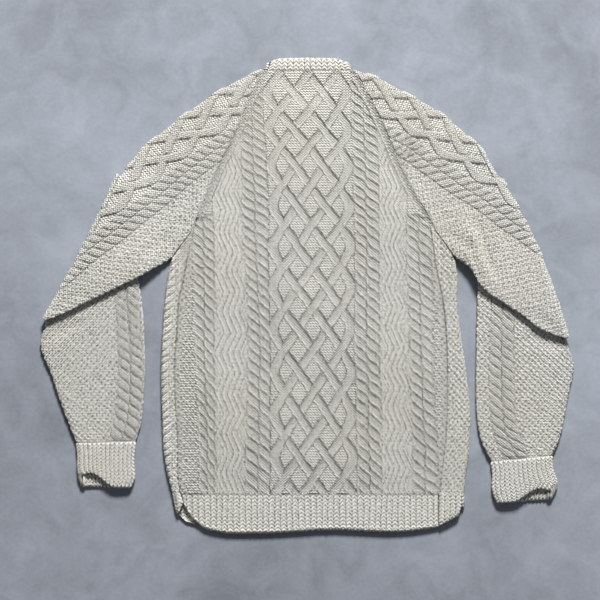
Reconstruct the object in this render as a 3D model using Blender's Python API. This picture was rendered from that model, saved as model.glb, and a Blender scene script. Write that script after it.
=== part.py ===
"""A cable knit sweater with raglan sleeves, lying flat on a floor with its back upwards.

The front panel lies on the floor and wraps a little way round both sides, so its side seams
show beside the back panel on top. Each sleeve is a flattened tube that is folded under itself
at the elbow: the upper arm lies over the forearm, which runs down to an open ribbed cuff.
Metres, +Z up, neck towards +Y, origin under the middle of the garment. Tables are in
millimetres, because a knitter's plan is.
"""

import math

import bmesh
import bpy
import numpy as np

MM = 0.001

# Driving sizes, in millimetres.
WALL = 4.0  # one layer of thick cable knit
SEAM = 0.3  # clearance between two pieces at a seam
BODY_PUFF = 2.4  # air between front and back in the middle of the body
SEAM_PUFF = 0.5  # and beside the side seams, where the back sinks
HEM_PUFF = 1.2  # and under the back welt
TUBE_HEIGHT = 10.4  # a flattened sleeve: two walls and the air between
EDGE_HEIGHT = 10.6  # the front panel where it turns up at the sides
FOLD_GAP = 0.5  # between the upper arm and the forearm under it
ROUND_END = 0.02  # share of a sleeve's width taken by its rounded fold
LIFT_RAMP = 62.0  # how far from the forearm the upper arm begins to rise
CUFF_MOUTH = 11.8  # the cuff's height at its open end
STRIP_TURN = 10.0  # where the front's strip on top begins to narrow towards the underarm
HEM_TOP = -296.0  # where both welts start
NECK_TOP = 334.0  # where the neckband starts on the back
NECK_SAG = 4.6  # how far the back sinks into the front's neck opening
NECK_HOLLOW = (50.0, 60.0, 338.0)  # half width, height and upper end of that hollow
HOLLOW_RIM = 0.45  # share of the hollow over which it deepens
NECKBAND_EASE = 0.72  # the band's free edge as a share of its seam, on the front
NECK_CORNER = 4.0  # how much further out the front neck's right corner lies
PUFF_REACH = 45.0  # how far from a side seam the back is fully puffed up
HEM_REACH = 60.0  # how far above the welt the back begins to sink towards it
BACK_SPREAD = 0.86  # how evenly the back's columns are spread in its middle
FLOOR_INSET = 9.01  # how far inside the side folds the layer on the floor ends
ARM_GAP = 7.0  # how far below the underarm each side fold ends
FULLNESS = 5.0  # how square a flattened tube's section is
WALL_MARGIN = 1.5  # room for the inner face at a tube's folds, in walls
STRAY_SHARE = 0.5  # how much of the armhole's curve the upper arm keeps
MOUTH_REACH = 0.5  # share of a cuff's width that is drawn back, each way
WELT_SLANT = 0.5  # how far a welt's fold leans as it goes down, for each mm of height
FOLD_ANGLES = (45.0, 90.0, 135.0)
STRIP_SHARES = (0.0, 0.34, 0.68)  # columns of the front's strips on top

# Raglan seams from the neck down to where the side seams start (y, left x, right x).
RAGLAN = (
    (339.0, -66.0, 68.0),
    (316.0, -76.0, 82.0),
    (293.0, -87.0, 94.0),
    (262.0, -99.0, 109.0),
    (230.0, -113.0, 123.0),
    (187.0, -135.0, 142.0),
    (151.0, -150.0, 160.0),
    (116.0, -165.0, 182.0),
)

# The rest of each raglan seam belongs to the front, round to the underarm fold (x, y).
UNDERARM_LEFT = ((-174.0, 94.0), (-190.0, 73.0), (-202.0, 56.0))
UNDERARM_RIGHT = ((192.0, 95.0), (206.0, 77.0), (217.0, 60.0))

# The body below the raglan seams: (y, left fold, left side seam, right side seam, right fold).
BODY = (
    (116.0, -165.0, -165.0, 182.0, 182.0),
    (84.0, -182.0, -175.0, 187.0, 203.0),
    (50.0, -204.0, -181.0, 192.0, 221.0),
    (22.0, -210.0, -186.0, 197.0, 225.0),
    (-7.0, -213.0, -192.0, 202.0, 224.0),
    (-52.0, -216.0, -195.0, 207.0, 229.0),
    (-101.0, -218.0, -199.0, 209.0, 236.0),
    (-145.0, -218.0, -199.0, 209.0, 241.0),
    (-187.0, -217.0, -196.0, 208.0, 244.0),
    (-230.0, -215.0, -194.0, 205.0, 242.0),
    (-269.0, -208.0, -194.0, 200.0, 237.0),
    (-296.0, -201.0, -190.0, 197.0, 234.0),
)

# The front neck line between its two raglan corners, half of it (x, y).
FRONT_NECK = ((-82.0, 303.0), (-62.0, 281.0), (-36.0, 265.0), (1.0, 258.0))

# Lower edge of the back welt, from its left end to its right end (x, y).
HEM_EDGE_BACK = (
    (-186.0, -312.0),
    (-176.0, -328.0),
    (-158.0, -346.0),
    (-131.0, -354.0),
    (-75.0, -356.0),
    (34.0, -351.0),
    (151.0, -353.0),
    (197.0, -347.0),
)

# Lower edge of the front welt: over each side on top, at each fold and along the floor (x, y).
HEM_STRIP_LEFT = ((-187.2, -311.0), (-188.8, -316.0), (-190.2, -321.0))
HEM_STRIP_RIGHT = ((197.8, -346.0), (212.0, -339.0), (226.0, -330.0))
HEM_FOLD_LEFT = (-195.0, -328.0)
HEM_FOLD_RIGHT = (234.0, -319.0)
HEM_FLOOR = (
    (-188.0, -334.0),
    (-182.0, -339.0),
    (-168.0, -343.0),
    (-120.0, -345.0),
    (-60.0, -346.0),
    (0.0, -346.0),
    (60.0, -345.0),
    (120.0, -345.0),
    (175.0, -345.0),
    (210.0, -338.0),
    (227.0, -328.0),
)

# Upper arm of each sleeve, from the raglan seams to the elbow fold: the outer edge, which
# carries on from the shoulder, and the inner edge, which carries on from the underarm.
# Columns: outer x, outer y, inner x, inner y.
UPPER_LEFT = (
    (-105.0, 322.0, -222.0, 44.0),
    (-150.0, 295.0, -248.0, 29.0),
    (-190.0, 267.0, -276.0, 15.0),
    (-225.0, 239.0, -303.0, 2.0),
    (-244.0, 223.0, -326.0, -9.0),
    (-258.0, 211.0, -348.0, -18.0),
)
UPPER_RIGHT = (
    (106.0, 326.0, 243.0, 40.0),
    (150.0, 302.0, 255.0, 19.0),
    (190.0, 280.0, 270.0, 3.0),
    (229.0, 250.0, 293.0, -12.0),
    (258.0, 222.0, 320.0, -30.0),
    (270.0, 205.0, 345.0, -47.0),
)

# The elbow fold: outer end x and y, inner end x and y, and how far its middle bows outwards.
ELBOW_LEFT = (-284.0, 181.0, -396.0, -34.0, -4.0)
ELBOW_RIGHT = (290.0, 178.0, 392.0, -62.0, 9.0)

# Forearm of each sleeve, from the elbow fold to the cuff: the edge beside the body, then the
# edge away from it. Columns: x, y, x, y.
FOREARM_LEFT = (
    (-270.0, 140.0, -398.0, -62.0),
    (-262.0, 80.0, -399.0, -77.0),
    (-254.0, 30.0, -393.0, -96.0),
    (-247.0, -15.0, -384.0, -116.0),
    (-244.0, -60.0, -377.0, -138.0),
    (-243.0, -107.0, -369.0, -160.0),
    (-245.0, -150.0, -360.0, -184.0),
    (-248.0, -187.0, -351.0, -207.0),
    (-257.0, -219.0, -345.0, -221.0),
)
FOREARM_RIGHT = (
    (276.0, 126.0, 396.0, -92.0),
    (265.0, 75.0, 399.0, -103.0),
    (256.0, 22.0, 397.0, -121.0),
    (254.0, -25.0, 392.0, -142.0),
    (253.0, -75.0, 387.0, -168.0),
    (252.0, -125.0, 383.0, -191.0),
    (253.0, -172.0, 378.0, -212.0),
    (259.0, -214.0, 371.0, -230.0),
    (275.0, -249.0, 366.0, -240.0),
)

# Cuffs below the forearms, with the same columns, and where the top layer is drawn back.
CUFF_LEFT = (
    (-257.5, -219.8, -345.0, -221.8),
    (-260.0, -240.0, -343.0, -240.0),
    (-260.0, -256.0, -343.0, -258.0),
    (-259.0, -272.0, -342.0, -273.0),
    (-264.0, -285.0, -338.0, -284.0),
)
CUFF_RIGHT = (
    (275.4, -249.8, 366.0, -240.8),
    (278.0, -268.0, 366.0, -257.0),
    (277.0, -284.0, 370.0, -272.0),
    (279.0, -297.0, 373.0, -286.0),
    (284.0, -308.0, 365.0, -303.0),
)
MOUTH_LEFT = (0.82, 20.0)  # share of the width, and depth
MOUTH_RIGHT = (0.78, 17.0)

# The neckband where it shows: seam x and y, free edge x and y, height of its middle.
NECKBAND_BACK = (
    (-57.5, 335.2, -54.0, 350.5, 6.7),
    (-44.0, 334.8, -42.0, 354.5, 6.0),
    (-22.0, 334.6, -21.0, 355.6, 4.6),
    (0.0, 334.5, 0.0, 356.0, 4.2),
    (24.0, 334.6, 23.0, 355.6, 4.6),
    (46.0, 334.8, 43.0, 354.5, 6.0),
    (59.5, 335.2, 56.0, 350.5, 6.7),
)
NECKBAND_FOLD_LEFT = (-63.0, 336.0, -59.5, 346.5, 4.4)
NECKBAND_FOLD_RIGHT = (65.0, 336.0, 61.5, 346.5, 4.4)
NECK_MIDDLE = (1.0, 335.0)

WOOL = (0.80, 0.77, 0.66, 1.0)


def smooth(value):
    """0 to 1 with soft ends."""
    value = min(max(value, 0.0), 1.0)
    return value * value * (3.0 - 2.0 * value)


def read(table, key, column):
    """A table's column at a key that runs along its first column, by straight lines."""
    keys = [row[0] for row in table]
    values = [row[column] for row in table]
    if keys[0] > keys[-1]:
        keys.reverse()
        values.reverse()
    return float(np.interp(key, keys, values))


def knitted():
    """The one material: thick, matt, undyed wool."""
    material = bpy.data.materials.new("wool")
    material.use_nodes = True
    shader = material.node_tree.nodes["Principled BSDF"]
    shader.inputs["Base Color"].default_value = WOOL
    shader.inputs["Roughness"].default_value = 0.9
    shader.inputs["Metallic"].default_value = 0.0
    return material


def solid(name, outer, inner, ring):
    """A wall between two grids of points (rows of columns), closed round its edges.

    With ring set, each row is a closed loop, so the wall is a tube with two open ends.
    """
    rows = len(outer)
    columns = len(outer[0])
    points = [point for grid in (outer, inner) for row in grid for point in row]
    second = rows * columns
    wrap = columns if ring else columns - 1
    faces = []
    for i in range(rows - 1):
        for j in range(wrap):
            a = i * columns + j
            b = i * columns + (j + 1) % columns
            faces.append((a, b, b + columns, a + columns))
            faces.append((second + a, second + a + columns, second + b + columns, second + b))
    for j in range(wrap):
        a = j
        b = (j + 1) % columns
        faces.append((a, second + a, second + b, b))
        a += (rows - 1) * columns
        b += (rows - 1) * columns
        faces.append((a, b, second + b, second + a))
    if not ring:
        for i in range(rows - 1):
            a = i * columns
            faces.append((a, a + columns, second + a + columns, second + a))
            a += columns - 1
            faces.append((a, second + a, second + a + columns, a + columns))
    mesh = bpy.data.meshes.new(name)
    mesh.from_pydata([tuple(c * MM for c in point) for point in points], [], faces)
    shape = bmesh.new()
    shape.from_mesh(mesh)
    bmesh.ops.recalc_face_normals(shape, faces=shape.faces)
    shape.to_mesh(mesh)
    shape.free()
    made = bpy.data.objects.new(name, mesh)
    bpy.context.scene.collection.objects.link(made)
    mesh.materials.append(knitted())
    mesh.shade_smooth()
    mesh.set_sharp_from_angle(angle=math.radians(50.0))
    return made


def neck_sag(x, y):
    """How far the back has sunk into the front's neck opening, 0 to 1."""
    wide, tall, top = NECK_HOLLOW
    reach = math.hypot(x / wide, (y - top) / tall)
    return smooth((1.0 - reach) / HOLLOW_RIM)


def under_back(x, y, left, right):
    """Height of the back's lower face: it rests on the front, puffed up away from its seams."""
    from_seam = min(x - left, right - x)
    puff = SEAM_PUFF + (BODY_PUFF - SEAM_PUFF) * smooth(from_seam / PUFF_REACH)
    if y < HEM_TOP + HEM_REACH:
        share = smooth((HEM_TOP + HEM_REACH - y) / HEM_REACH)
        puff += (HEM_PUFF - puff) * share * smooth(from_seam / PUFF_REACH)
    return WALL + puff - NECK_SAG * neck_sag(x, y)


def back_panel():
    """Rows across the back, from the neck down its raglan edges and side seams to the welt."""
    rows = [(NECK_TOP, read(RAGLAN, NECK_TOP, 1), read(RAGLAN, NECK_TOP, 2))]
    rows += list(RAGLAN[1:])
    rows += [(row[0], row[2], row[3]) for row in BODY[1:]]
    columns = 15
    upper = []
    lower = []
    for y, left, right in rows:
        left += SEAM
        right -= SEAM
        top_row = []
        low_row = []
        for j in range(columns):
            share = j / (columns - 1)
            spread = BACK_SPREAD + (1.0 - BACK_SPREAD) * abs(2.0 * share - 1.0)
            share = 0.5 - 0.5 * math.cos(math.pi * share) * spread
            x = left + (right - left) * share
            z = under_back(x, y, left, right)
            top_row.append((x, y, z + WALL))
            low_row.append((x, y, z))
        upper.append(top_row)
        lower.append(low_row)
    return solid("back", lower, upper, False)


def wrapped_section(shares, layer):
    """Where each column of the front lies across the body: (share along its run, height, kind).

    The columns run from the left side seam, over the top layer, round the left fold, along
    the floor, round the right fold and back over the top layer. The layer is 0 for the face
    that looks outwards and 1 for the face inside.
    """
    inset = layer * WALL
    radius = EDGE_HEIGHT / 2.0 - inset
    section = []
    for share in shares["strip"]:
        section.append(("left_strip", share, EDGE_HEIGHT - inset, 0.0))
    for angle in FOLD_ANGLES:
        turn = math.radians(angle)
        height = EDGE_HEIGHT / 2.0 + radius * math.cos(turn)
        section.append(("left_fold", angle, height, radius * math.sin(turn)))
    for share in shares["floor"]:
        section.append(("floor", share, inset, 0.0))
    for angle in reversed(FOLD_ANGLES):
        turn = math.radians(angle)
        height = EDGE_HEIGHT / 2.0 + radius * math.cos(turn)
        section.append(("right_fold", angle, height, radius * math.sin(turn)))
    for share in reversed(shares["strip"]):
        section.append(("right_strip", share, EDGE_HEIGHT - inset, 0.0))
    return section


def front_neck_right():
    """The right half of the front neck line, from its middle out to the raglan corner."""
    points = []
    for x, y in reversed(FRONT_NECK[:-1]):
        mirrored = 2.0 * NECK_MIDDLE[0] - x
        if (x, y) == FRONT_NECK[0]:
            mirrored += NECK_CORNER
        points.append((mirrored, y))
    return points


def front_tops():
    """The upper end of each column of the front: along the raglan edges and the neck line."""
    crotch = RAGLAN[-1][0] - 4.0 * SEAM
    left_strip = [(RAGLAN[-1][1], crotch), *UNDERARM_LEFT[:2]]
    right_strip = [(RAGLAN[-1][2] - SEAM, crotch), *UNDERARM_RIGHT[:2]]
    left_rise = [*reversed(UNDERARM_LEFT[:2])]
    left_rise += [(row[1], row[0]) for row in reversed(RAGLAN[3:])]
    right_rise = [*reversed(UNDERARM_RIGHT[:2])]
    right_rise += [(row[2], row[0]) for row in reversed(RAGLAN[3:])]
    floor = left_rise + list(FRONT_NECK) + front_neck_right() + list(reversed(right_rise))
    return left_strip, floor, right_strip


def outline(y, side):
    """The body's outer fold or, above the underarm, its raglan edge; and its side seam."""
    if y > RAGLAN[-1][0]:
        edge = read(RAGLAN, y, 1 if side < 0 else 2)
        return edge, edge
    under = UNDERARM_LEFT if side < 0 else UNDERARM_RIGHT
    seam = read(BODY, y, 2 if side < 0 else 3)
    if y > under[-1][1]:
        top = (RAGLAN[-1][1 if side < 0 else 2], RAGLAN[-1][0])
        points = [(py, px) for px, py in (top, *under)]
        return read(points, y, 1), seam
    return read(BODY, y, 1 if side < 0 else 4), seam


def front_panel():
    """Columns up the front, each as long as it needs, through a section that wraps the sides."""
    left_strip, floor_tops, right_strip = front_tops()
    count = len(floor_tops)
    shares = {"strip": STRIP_SHARES, "floor": [(j + 1) / (count + 1) for j in range(count)]}
    side_length = BODY[0][0] - BODY[-1][0]
    runs = [(row[0] - BODY[-1][0]) / side_length for row in reversed(BODY)]
    rows = len(runs)
    faces = []
    for layer in (0, 1):
        section = wrapped_section(shares, layer)
        grid = [[] for _ in range(rows)]
        floor_index = 0
        strip_index = 0
        for kind, share, height, bulge in section:
            side = -1 if kind.startswith("left") else 1
            if kind == "floor":
                top = floor_tops[floor_index]
                floor_index += 1
            elif kind.endswith("strip"):
                tops = left_strip if side < 0 else list(reversed(right_strip))
                top = tops[strip_index % len(STRIP_SHARES)]
                strip_index += 1
            else:
                top = (UNDERARM_LEFT if side < 0 else UNDERARM_RIGHT)[-1]
                top = (top[0], top[1] - ARM_GAP)
            foot = HEM_TOP + SEAM
            for i, run in enumerate(runs):
                y = foot + (top[1] - SEAM - foot) * run
                if kind == "floor":
                    left = outline(min(y, STRIP_TURN), -1)[0] + FLOOR_INSET
                    right = outline(min(y, STRIP_TURN), 1)[0] - FLOOR_INSET
                    x = left + (right - left) * share
                    if y > STRIP_TURN:
                        rise = (y - STRIP_TURN) / (top[1] - SEAM - STRIP_TURN)
                        x += (top[0] - x) * rise
                elif kind.endswith("strip"):
                    edge, seam = outline(min(y, STRIP_TURN), side)
                    start = seam + side * SEAM
                    stop = edge - side * EDGE_HEIGHT / 2.0
                    x = start + (stop - start) * share
                    if share == 0.0:
                        x = outline(y, side)[1] + side * SEAM
                    elif y > STRIP_TURN:
                        rise = (y - STRIP_TURN) / (top[1] - SEAM - STRIP_TURN)
                        x += (top[0] - x) * rise
                else:
                    edge = outline(y, side)[0]
                    x = edge + side * (bulge - EDGE_HEIGHT / 2.0)
                grid[i].append((x, y, height))
        faces.append(grid)
    return solid("front", faces[0], faces[1], False)


def profile(share):
    """How full a flattened tube is across its width: level, and rounded off at both ends."""
    return (1.0 - abs(2.0 * share - 1.0) ** FULLNESS) ** (1.0 / FULLNESS)


def ring_plan(shares, width, height, inset):
    """One cross-section of a flattened tube: (share across, height off its middle, layer).

    It goes along the top from the outer end and comes back along the bottom.
    """
    half = height / 2.0 - inset
    margin = WALL_MARGIN * inset / width
    top = [(0.0, 0.0, 0)]
    top += [(share, half * profile(share), 1) for share in shares]
    bottom = [(1.0, 0.0, 0)]
    bottom += [(share, -half * profile(share), -1) for share in reversed(shares)]
    plan = []
    for share, rise, layer in top + bottom:
        plan.append((margin + (1.0 - 2.0 * margin) * share, rise, layer))
    return plan


def armhole(side):
    """The sleeve's first ring, from the neck down to the underarm: a list of (x, y)."""
    column = 1 if side < 0 else 2
    points = [(row[column], row[0]) for row in RAGLAN]
    points += list(UNDERARM_LEFT if side < 0 else UNDERARM_RIGHT)
    return [(x + side * SEAM, y) for x, y in points]


def between(a, b, share):
    """The point at a share of the way from one point to another."""
    return (a[0] + (b[0] - a[0]) * share, a[1] + (b[1] - a[1]) * share)


def sleeve(name, side, upper, elbow, forearm):
    """A flattened tube from the armhole to the wrist, turned under itself at the elbow."""
    start = armhole(side)
    runs = [0.0]
    for a, b in zip(start[:-1], start[1:]):
        runs.append(runs[-1] + math.dist(a, b))
    all_shares = [run / runs[-1] for run in runs]
    shares = [ROUND_END, *all_shares[1:-1], 1.0 - ROUND_END]
    stray_x = []
    stray_y = []
    for (x, y), share in zip(start, all_shares):
        straight = between(start[0], start[-1], share)
        stray_x.append(x - straight[0])
        stray_y.append(y - straight[1])
    inner_edge = [elbow[:2], *[row[:2] for row in forearm]]
    edge_y = [y for x, y in reversed(inner_edge)]
    edge_x = [x for x, y in reversed(inner_edge)]

    def base(x, y):
        over = side * (x - float(np.interp(y, edge_y, edge_x)))
        return (TUBE_HEIGHT + FOLD_GAP) * smooth((over + LIFT_RAMP) / LIFT_RAMP)

    def flat(a, b, fade, lifted, inset):
        width = math.dist(a, b)
        ring = []
        for share, rise, _ in ring_plan(shares, width, TUBE_HEIGHT, inset):
            x, y = between(a, b, share)
            x += fade * float(np.interp(share, all_shares, stray_x))
            y += fade * float(np.interp(share, all_shares, stray_y))
            if lifted:
                ring.append((x, y, base(x, y) + TUBE_HEIGHT / 2.0 + rise))
            else:
                ring.append((x, y, TUBE_HEIGHT / 2.0 - rise))
        return ring

    def turned(angle, inset):
        a = elbow[:2]
        b = elbow[2:4]
        width = math.dist(a, b)
        out = (side * (a[1] - b[1]) / width, side * (b[0] - a[0]) / width)
        middle = TUBE_HEIGHT + FOLD_GAP / 2.0
        ring = []
        for share, rise, _ in ring_plan(shares, width, TUBE_HEIGHT, inset):
            x, y = between(a, b, share)
            bow = elbow[4] * math.sin(math.pi * share)
            full = TUBE_HEIGHT / 2.0 * (1.0 + profile(min(max(share, 0.0), 1.0)))
            reach = FOLD_GAP / 2.0 + TUBE_HEIGHT / 2.0 + rise
            turn = math.radians(angle)
            across = bow - full + reach * math.sin(turn)
            ring.append((x + out[0] * across, y + out[1] * across, middle + reach * math.cos(turn)))
        return ring

    outer = []
    inner = []
    for inset, grid in ((0.0, outer), (WALL, inner)):
        grid.append(flat(start[0], start[-1], 1.0, True, inset))
        for i, row in enumerate(upper):
            fade = STRAY_SHARE * (1.0 - (i + 1) / (len(upper) + 1)) ** 2
            grid.append(flat(row[:2], row[2:], fade, True, inset))
        for angle in (0.0, *FOLD_ANGLES, 180.0):
            grid.append(turned(angle, inset))
        for row in forearm:
            grid.append(flat(row[:2], row[2:], 0.0, False, inset))
    solid(name, outer, inner, True)
    return shares


def cuff(name, side, table, mouth, shares):
    """A ribbed tube below the forearm, whose top layer is drawn back at the open end."""
    outer = []
    inner = []
    for inset, grid in ((0.0, outer), (WALL, inner)):
        for i, row in enumerate(table):
            run = i / (len(table) - 1)
            height = TUBE_HEIGHT + (CUFF_MOUTH - TUBE_HEIGHT) * run
            width = math.dist(row[:2], row[2:])
            ring = []
            for share, rise, layer in ring_plan(shares, width, height, inset):
                x, y = between(row[:2], row[2:], share)
                drawn = max(0.0, 1.0 - ((share - mouth[0]) / MOUTH_REACH) ** 2)
                lifted = (1.0 + layer) / 2.0
                y += mouth[1] * drawn * drawn * run * run * lifted
                ring.append((x, y, height / 2.0 + rise))
            grid.append(ring)
    return solid(name, outer, inner, True)


def hem_back():
    """The back welt: columns from the panel down to the welt's own lower edge."""
    columns = 17
    xs = [x for x, y in HEM_EDGE_BACK]
    ys = [y for x, y in HEM_EDGE_BACK]
    left = BODY[-1][2] + SEAM
    right = BODY[-1][3] - SEAM
    upper = [[] for _ in range(5)]
    lower = [[] for _ in range(5)]
    for j in range(columns):
        share = 0.5 - 0.5 * math.cos(math.pi * j / (columns - 1))
        foot_x = xs[0] + (xs[-1] - SEAM - xs[0]) * share
        foot_y = float(np.interp(foot_x, xs, ys))
        head_x = left + (right - left) * share
        for i in range(5):
            run = i / 4.0
            x = head_x + (foot_x - head_x) * run
            y = HEM_TOP - SEAM + (foot_y - HEM_TOP + SEAM) * run
            z = under_back(head_x, HEM_TOP, left, right)
            upper[i].append((x, y, z + WALL))
            lower[i].append((x, y, z))
    return solid("hem_back", lower, upper, False)


def hem_front():
    """The front welt, in the same wrapped section as the front panel."""
    count = len(HEM_FLOOR)
    shares = {"strip": STRIP_SHARES, "floor": [(j + 1) / (count + 1) for j in range(count)]}
    faces = []
    for layer in (0, 1):
        grid = [[] for _ in range(4)]
        floor_index = 0
        strip_index = 0
        for kind, share, height, bulge in wrapped_section(shares, layer):
            side = -1 if kind.startswith("left") else 1
            edge, seam = outline(HEM_TOP, side)
            fold = HEM_FOLD_LEFT if side < 0 else HEM_FOLD_RIGHT
            if kind == "floor":
                left = outline(HEM_TOP, -1)[0] + EDGE_HEIGHT / 2.0
                right = outline(HEM_TOP, 1)[0] - EDGE_HEIGHT / 2.0
                head_x = left + (right - left) * share
                foot = HEM_FLOOR[floor_index]
                floor_index += 1
            elif kind.endswith("strip"):
                strip = HEM_STRIP_LEFT if side < 0 else HEM_STRIP_RIGHT[::-1]
                foot = strip[strip_index % len(STRIP_SHARES)]
                strip_index += 1
                start = seam + side * SEAM
                stop = edge - side * EDGE_HEIGHT / 2.0
                head_x = start + (stop - start) * share
            else:
                across = side * (bulge - EDGE_HEIGHT / 2.0)
                head_x = edge + across
                lean = WELT_SLANT * (height - EDGE_HEIGHT / 2.0)
                foot = (fold[0] + across, fold[1] + lean)
            for i in range(4):
                run = i / 3.0
                x = head_x + (foot[0] - head_x) * run
                y = HEM_TOP - SEAM + (foot[1] - HEM_TOP + SEAM) * run
                grid[i].append((x, y, height))
        faces.append(grid)
    return solid("hem_front", faces[0], faces[1], False)


def neckband():
    """A flattened ring: level across the back, folded at both ends and scooped at the front."""
    stations = [(row[:2], row[2:4], row[4], (0.0, 1.0)) for row in NECKBAND_BACK]
    row = NECKBAND_FOLD_RIGHT
    stations.append((row[:2], row[2:4], row[4], (1.0, 0.0)))
    right = [(66.0, 329.0), (read(RAGLAN, 316.0, 2) - 1.0, 316.5)]
    right += [(x - 2.0 * SEAM, y + SEAM) for x, y in reversed(front_neck_right())]
    left = [(x + 2.0 * SEAM, y + SEAM) for x, y in reversed(FRONT_NECK[:-1])]
    left += [(read(RAGLAN, 316.0, 1) + 1.0, 316.5), (-64.0, 329.0)]
    for x, y in (*right, (FRONT_NECK[-1][0], FRONT_NECK[-1][1] + SEAM), *left):
        free = between(NECK_MIDDLE, (x, y), NECKBAND_EASE)
        stations.append(((x, y), free, WALL / 2.0, (0.0, -1.0)))
    row = NECKBAND_FOLD_LEFT
    stations.append((row[:2], row[2:4], row[4], (-1.0, 0.0)))
    grids = []
    for way in (0.5, -0.5):
        seam_row = []
        free_row = []
        for seam, free, middle, facing in stations:
            step = (facing[0] * WALL * way, facing[1] * WALL * way)
            seam_row.append((seam[0] + step[0], seam[1], middle + step[1]))
            free_row.append((free[0] + step[0], free[1], middle + step[1]))
        grids.append([seam_row, free_row])
    return solid("neckband", grids[0], grids[1], True)


def main():
    for old in list(bpy.data.objects):
        bpy.data.objects.remove(old, do_unlink=True)
    back_panel()
    front_panel()
    hem_back()
    hem_front()
    neckband()
    shares = sleeve("sleeve_left", -1, UPPER_LEFT, ELBOW_LEFT, FOREARM_LEFT)
    cuff("cuff_left", -1, CUFF_LEFT, MOUTH_LEFT, shares)
    shares = sleeve("sleeve_right", 1, UPPER_RIGHT, ELBOW_RIGHT, FOREARM_RIGHT)
    cuff("cuff_right", 1, CUFF_RIGHT, MOUTH_RIGHT, shares)


main()
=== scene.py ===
"""Looks of a cable knit sweater that lies flat on a floor with its back upwards.

Each piece is a fine knitted surface laid over its CAD solid. Its cables, ribs and moss are real
relief, worked out in millimetres from the knitter's plan below; the single stitches, the fuzz of
the yarn and painted shade in its grooves and between its stitches are in the material.
"""

import math

import bpy
import mathutils
import numpy as np
from bpy.props import FloatProperty, FloatVectorProperty, PointerProperty
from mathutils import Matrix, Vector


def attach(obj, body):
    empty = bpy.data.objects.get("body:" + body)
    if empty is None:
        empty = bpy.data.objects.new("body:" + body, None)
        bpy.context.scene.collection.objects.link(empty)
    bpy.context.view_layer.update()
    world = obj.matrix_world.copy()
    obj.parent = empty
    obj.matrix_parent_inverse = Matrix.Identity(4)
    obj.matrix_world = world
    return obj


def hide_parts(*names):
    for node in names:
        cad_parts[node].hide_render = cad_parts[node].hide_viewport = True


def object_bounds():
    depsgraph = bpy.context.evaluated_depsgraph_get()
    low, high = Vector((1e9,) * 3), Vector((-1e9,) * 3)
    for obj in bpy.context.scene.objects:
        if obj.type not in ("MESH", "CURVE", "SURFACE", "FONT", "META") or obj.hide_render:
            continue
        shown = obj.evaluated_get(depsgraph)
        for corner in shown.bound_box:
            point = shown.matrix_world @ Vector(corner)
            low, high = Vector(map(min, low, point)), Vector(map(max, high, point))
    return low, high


bl_info = {
    "name": "Cable Knit Sweater",
    "version": (1, 0, 0),
    "blender": (4, 5, 0),
    "location": "3D View > Sidebar > Knitwear",
    "description": "Knits the visible surface of a raglan sweater over its CAD frame",
    "category": "Object",
}

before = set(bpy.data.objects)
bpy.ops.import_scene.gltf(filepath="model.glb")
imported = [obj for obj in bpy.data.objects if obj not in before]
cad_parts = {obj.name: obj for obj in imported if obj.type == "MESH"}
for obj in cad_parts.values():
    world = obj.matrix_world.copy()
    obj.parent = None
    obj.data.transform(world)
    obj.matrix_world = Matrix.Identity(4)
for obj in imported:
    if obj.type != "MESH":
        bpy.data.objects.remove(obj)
CAD_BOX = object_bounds()
GROUND = CAD_BOX[0][2]

MM = 0.001

# ---------------------------------------------------------------- the knitter's plan, in mm

# The wearer's sides, which lie towards -X and +X.
LEFT = -1
RIGHT = 1

WALL = 4.0
SEAM = 0.3
TUCK = 0.9  # how far the back's edges are drawn in under their neighbours
BODY_PUFF = 2.4
SEAM_PUFF = 0.5
SEAM_EASE = 45.0  # how far from a seam the cloth lies at its full height
HEM_PUFF = 1.2
HEM_REACH = 60.0
TUBE_HEIGHT = 10.4
TUBE_ROUND = 0.4  # below 1, which makes a flattened tube's section squarer
EDGE_HEIGHT = 10.6
EDGE_RADIUS = EDGE_HEIGHT / 2.0
FOLD_GAP = 0.5
LIFT_RAMP = 62.0  # how far an upper arm takes to rise over its forearm
CUFF_MOUTH = 11.8
CUFF_HEIGHT = 65.0
CUFF_WIDTH = 88.0
CUFF_INSIDE = 26.0  # how far the wall that turns into a cuff's mouth is built
CUFF_RIB = 6.8
HEM_TOP = -296.0
NECK_TOP = 336.4
NECK_SAG = 4.6  # how deep the back sinks into the front's neck opening
STRIP_TURN = 10.0  # above this y the front's columns lean towards their upper ends
# Flat sizes, which set how many points a grid has.
BACK_WIDTH = 384.0
FRONT_HEIGHT = 480.0
FLOOR_WIDTH = 430.0
ARM_WIDTH = 270.0
FOREARM_WIDTH = 130.0
WELT_WIDTH = 386.0
WELT_HEIGHT = 60.0
FRONT_WELT_HEIGHT = 50.0
RIB_ROW = 5.6  # height of one stitch in the ribbing
ROLL_TURN = 4.7  # length of one stitch of the welts' rolled edge
SIDE_ROPE = (8.0, 23.0)  # where the rope on the left side strip starts and ends
SIDE_ROPE_TURN = 11.5
ZIGZAG_RIBS = 5.6  # ribs across a zigzag
ZIGZAG_SWAY = 5.6  # how far they wave to each side
CHAIN_WIDTH = 9.0  # of the big plain stitches along the raglan seams
CHAIN_HEIGHT = 2.3
LATTICE_STEP = 17.4  # half a diamond of the body's lattice
SLEEVE_STEP = 17.6  # the same of a sleeve's lattice
SLEEVE_STRAND = 15.2  # the step that the width of a sleeve's strands is measured in
ROPE_WIDTH = 18.0  # on the sleeves
SLEEVE_ROPES = 54.0  # from a sleeve's outer edge to its first rope
NECKBAND_EASE = 0.72
NECKBAND_HEIGHT = 21.0
NECKBAND_RIB = 8.5
NECK_MIDDLE = (1.0, 335.0)  # the point that the neckband's free edge is drawn in to
NECK_CORNER = -70.0  # the front neck's points beyond this x are its corners
CORNER_OUT = 4.0  # how much further out the front neck's right corner is

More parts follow.
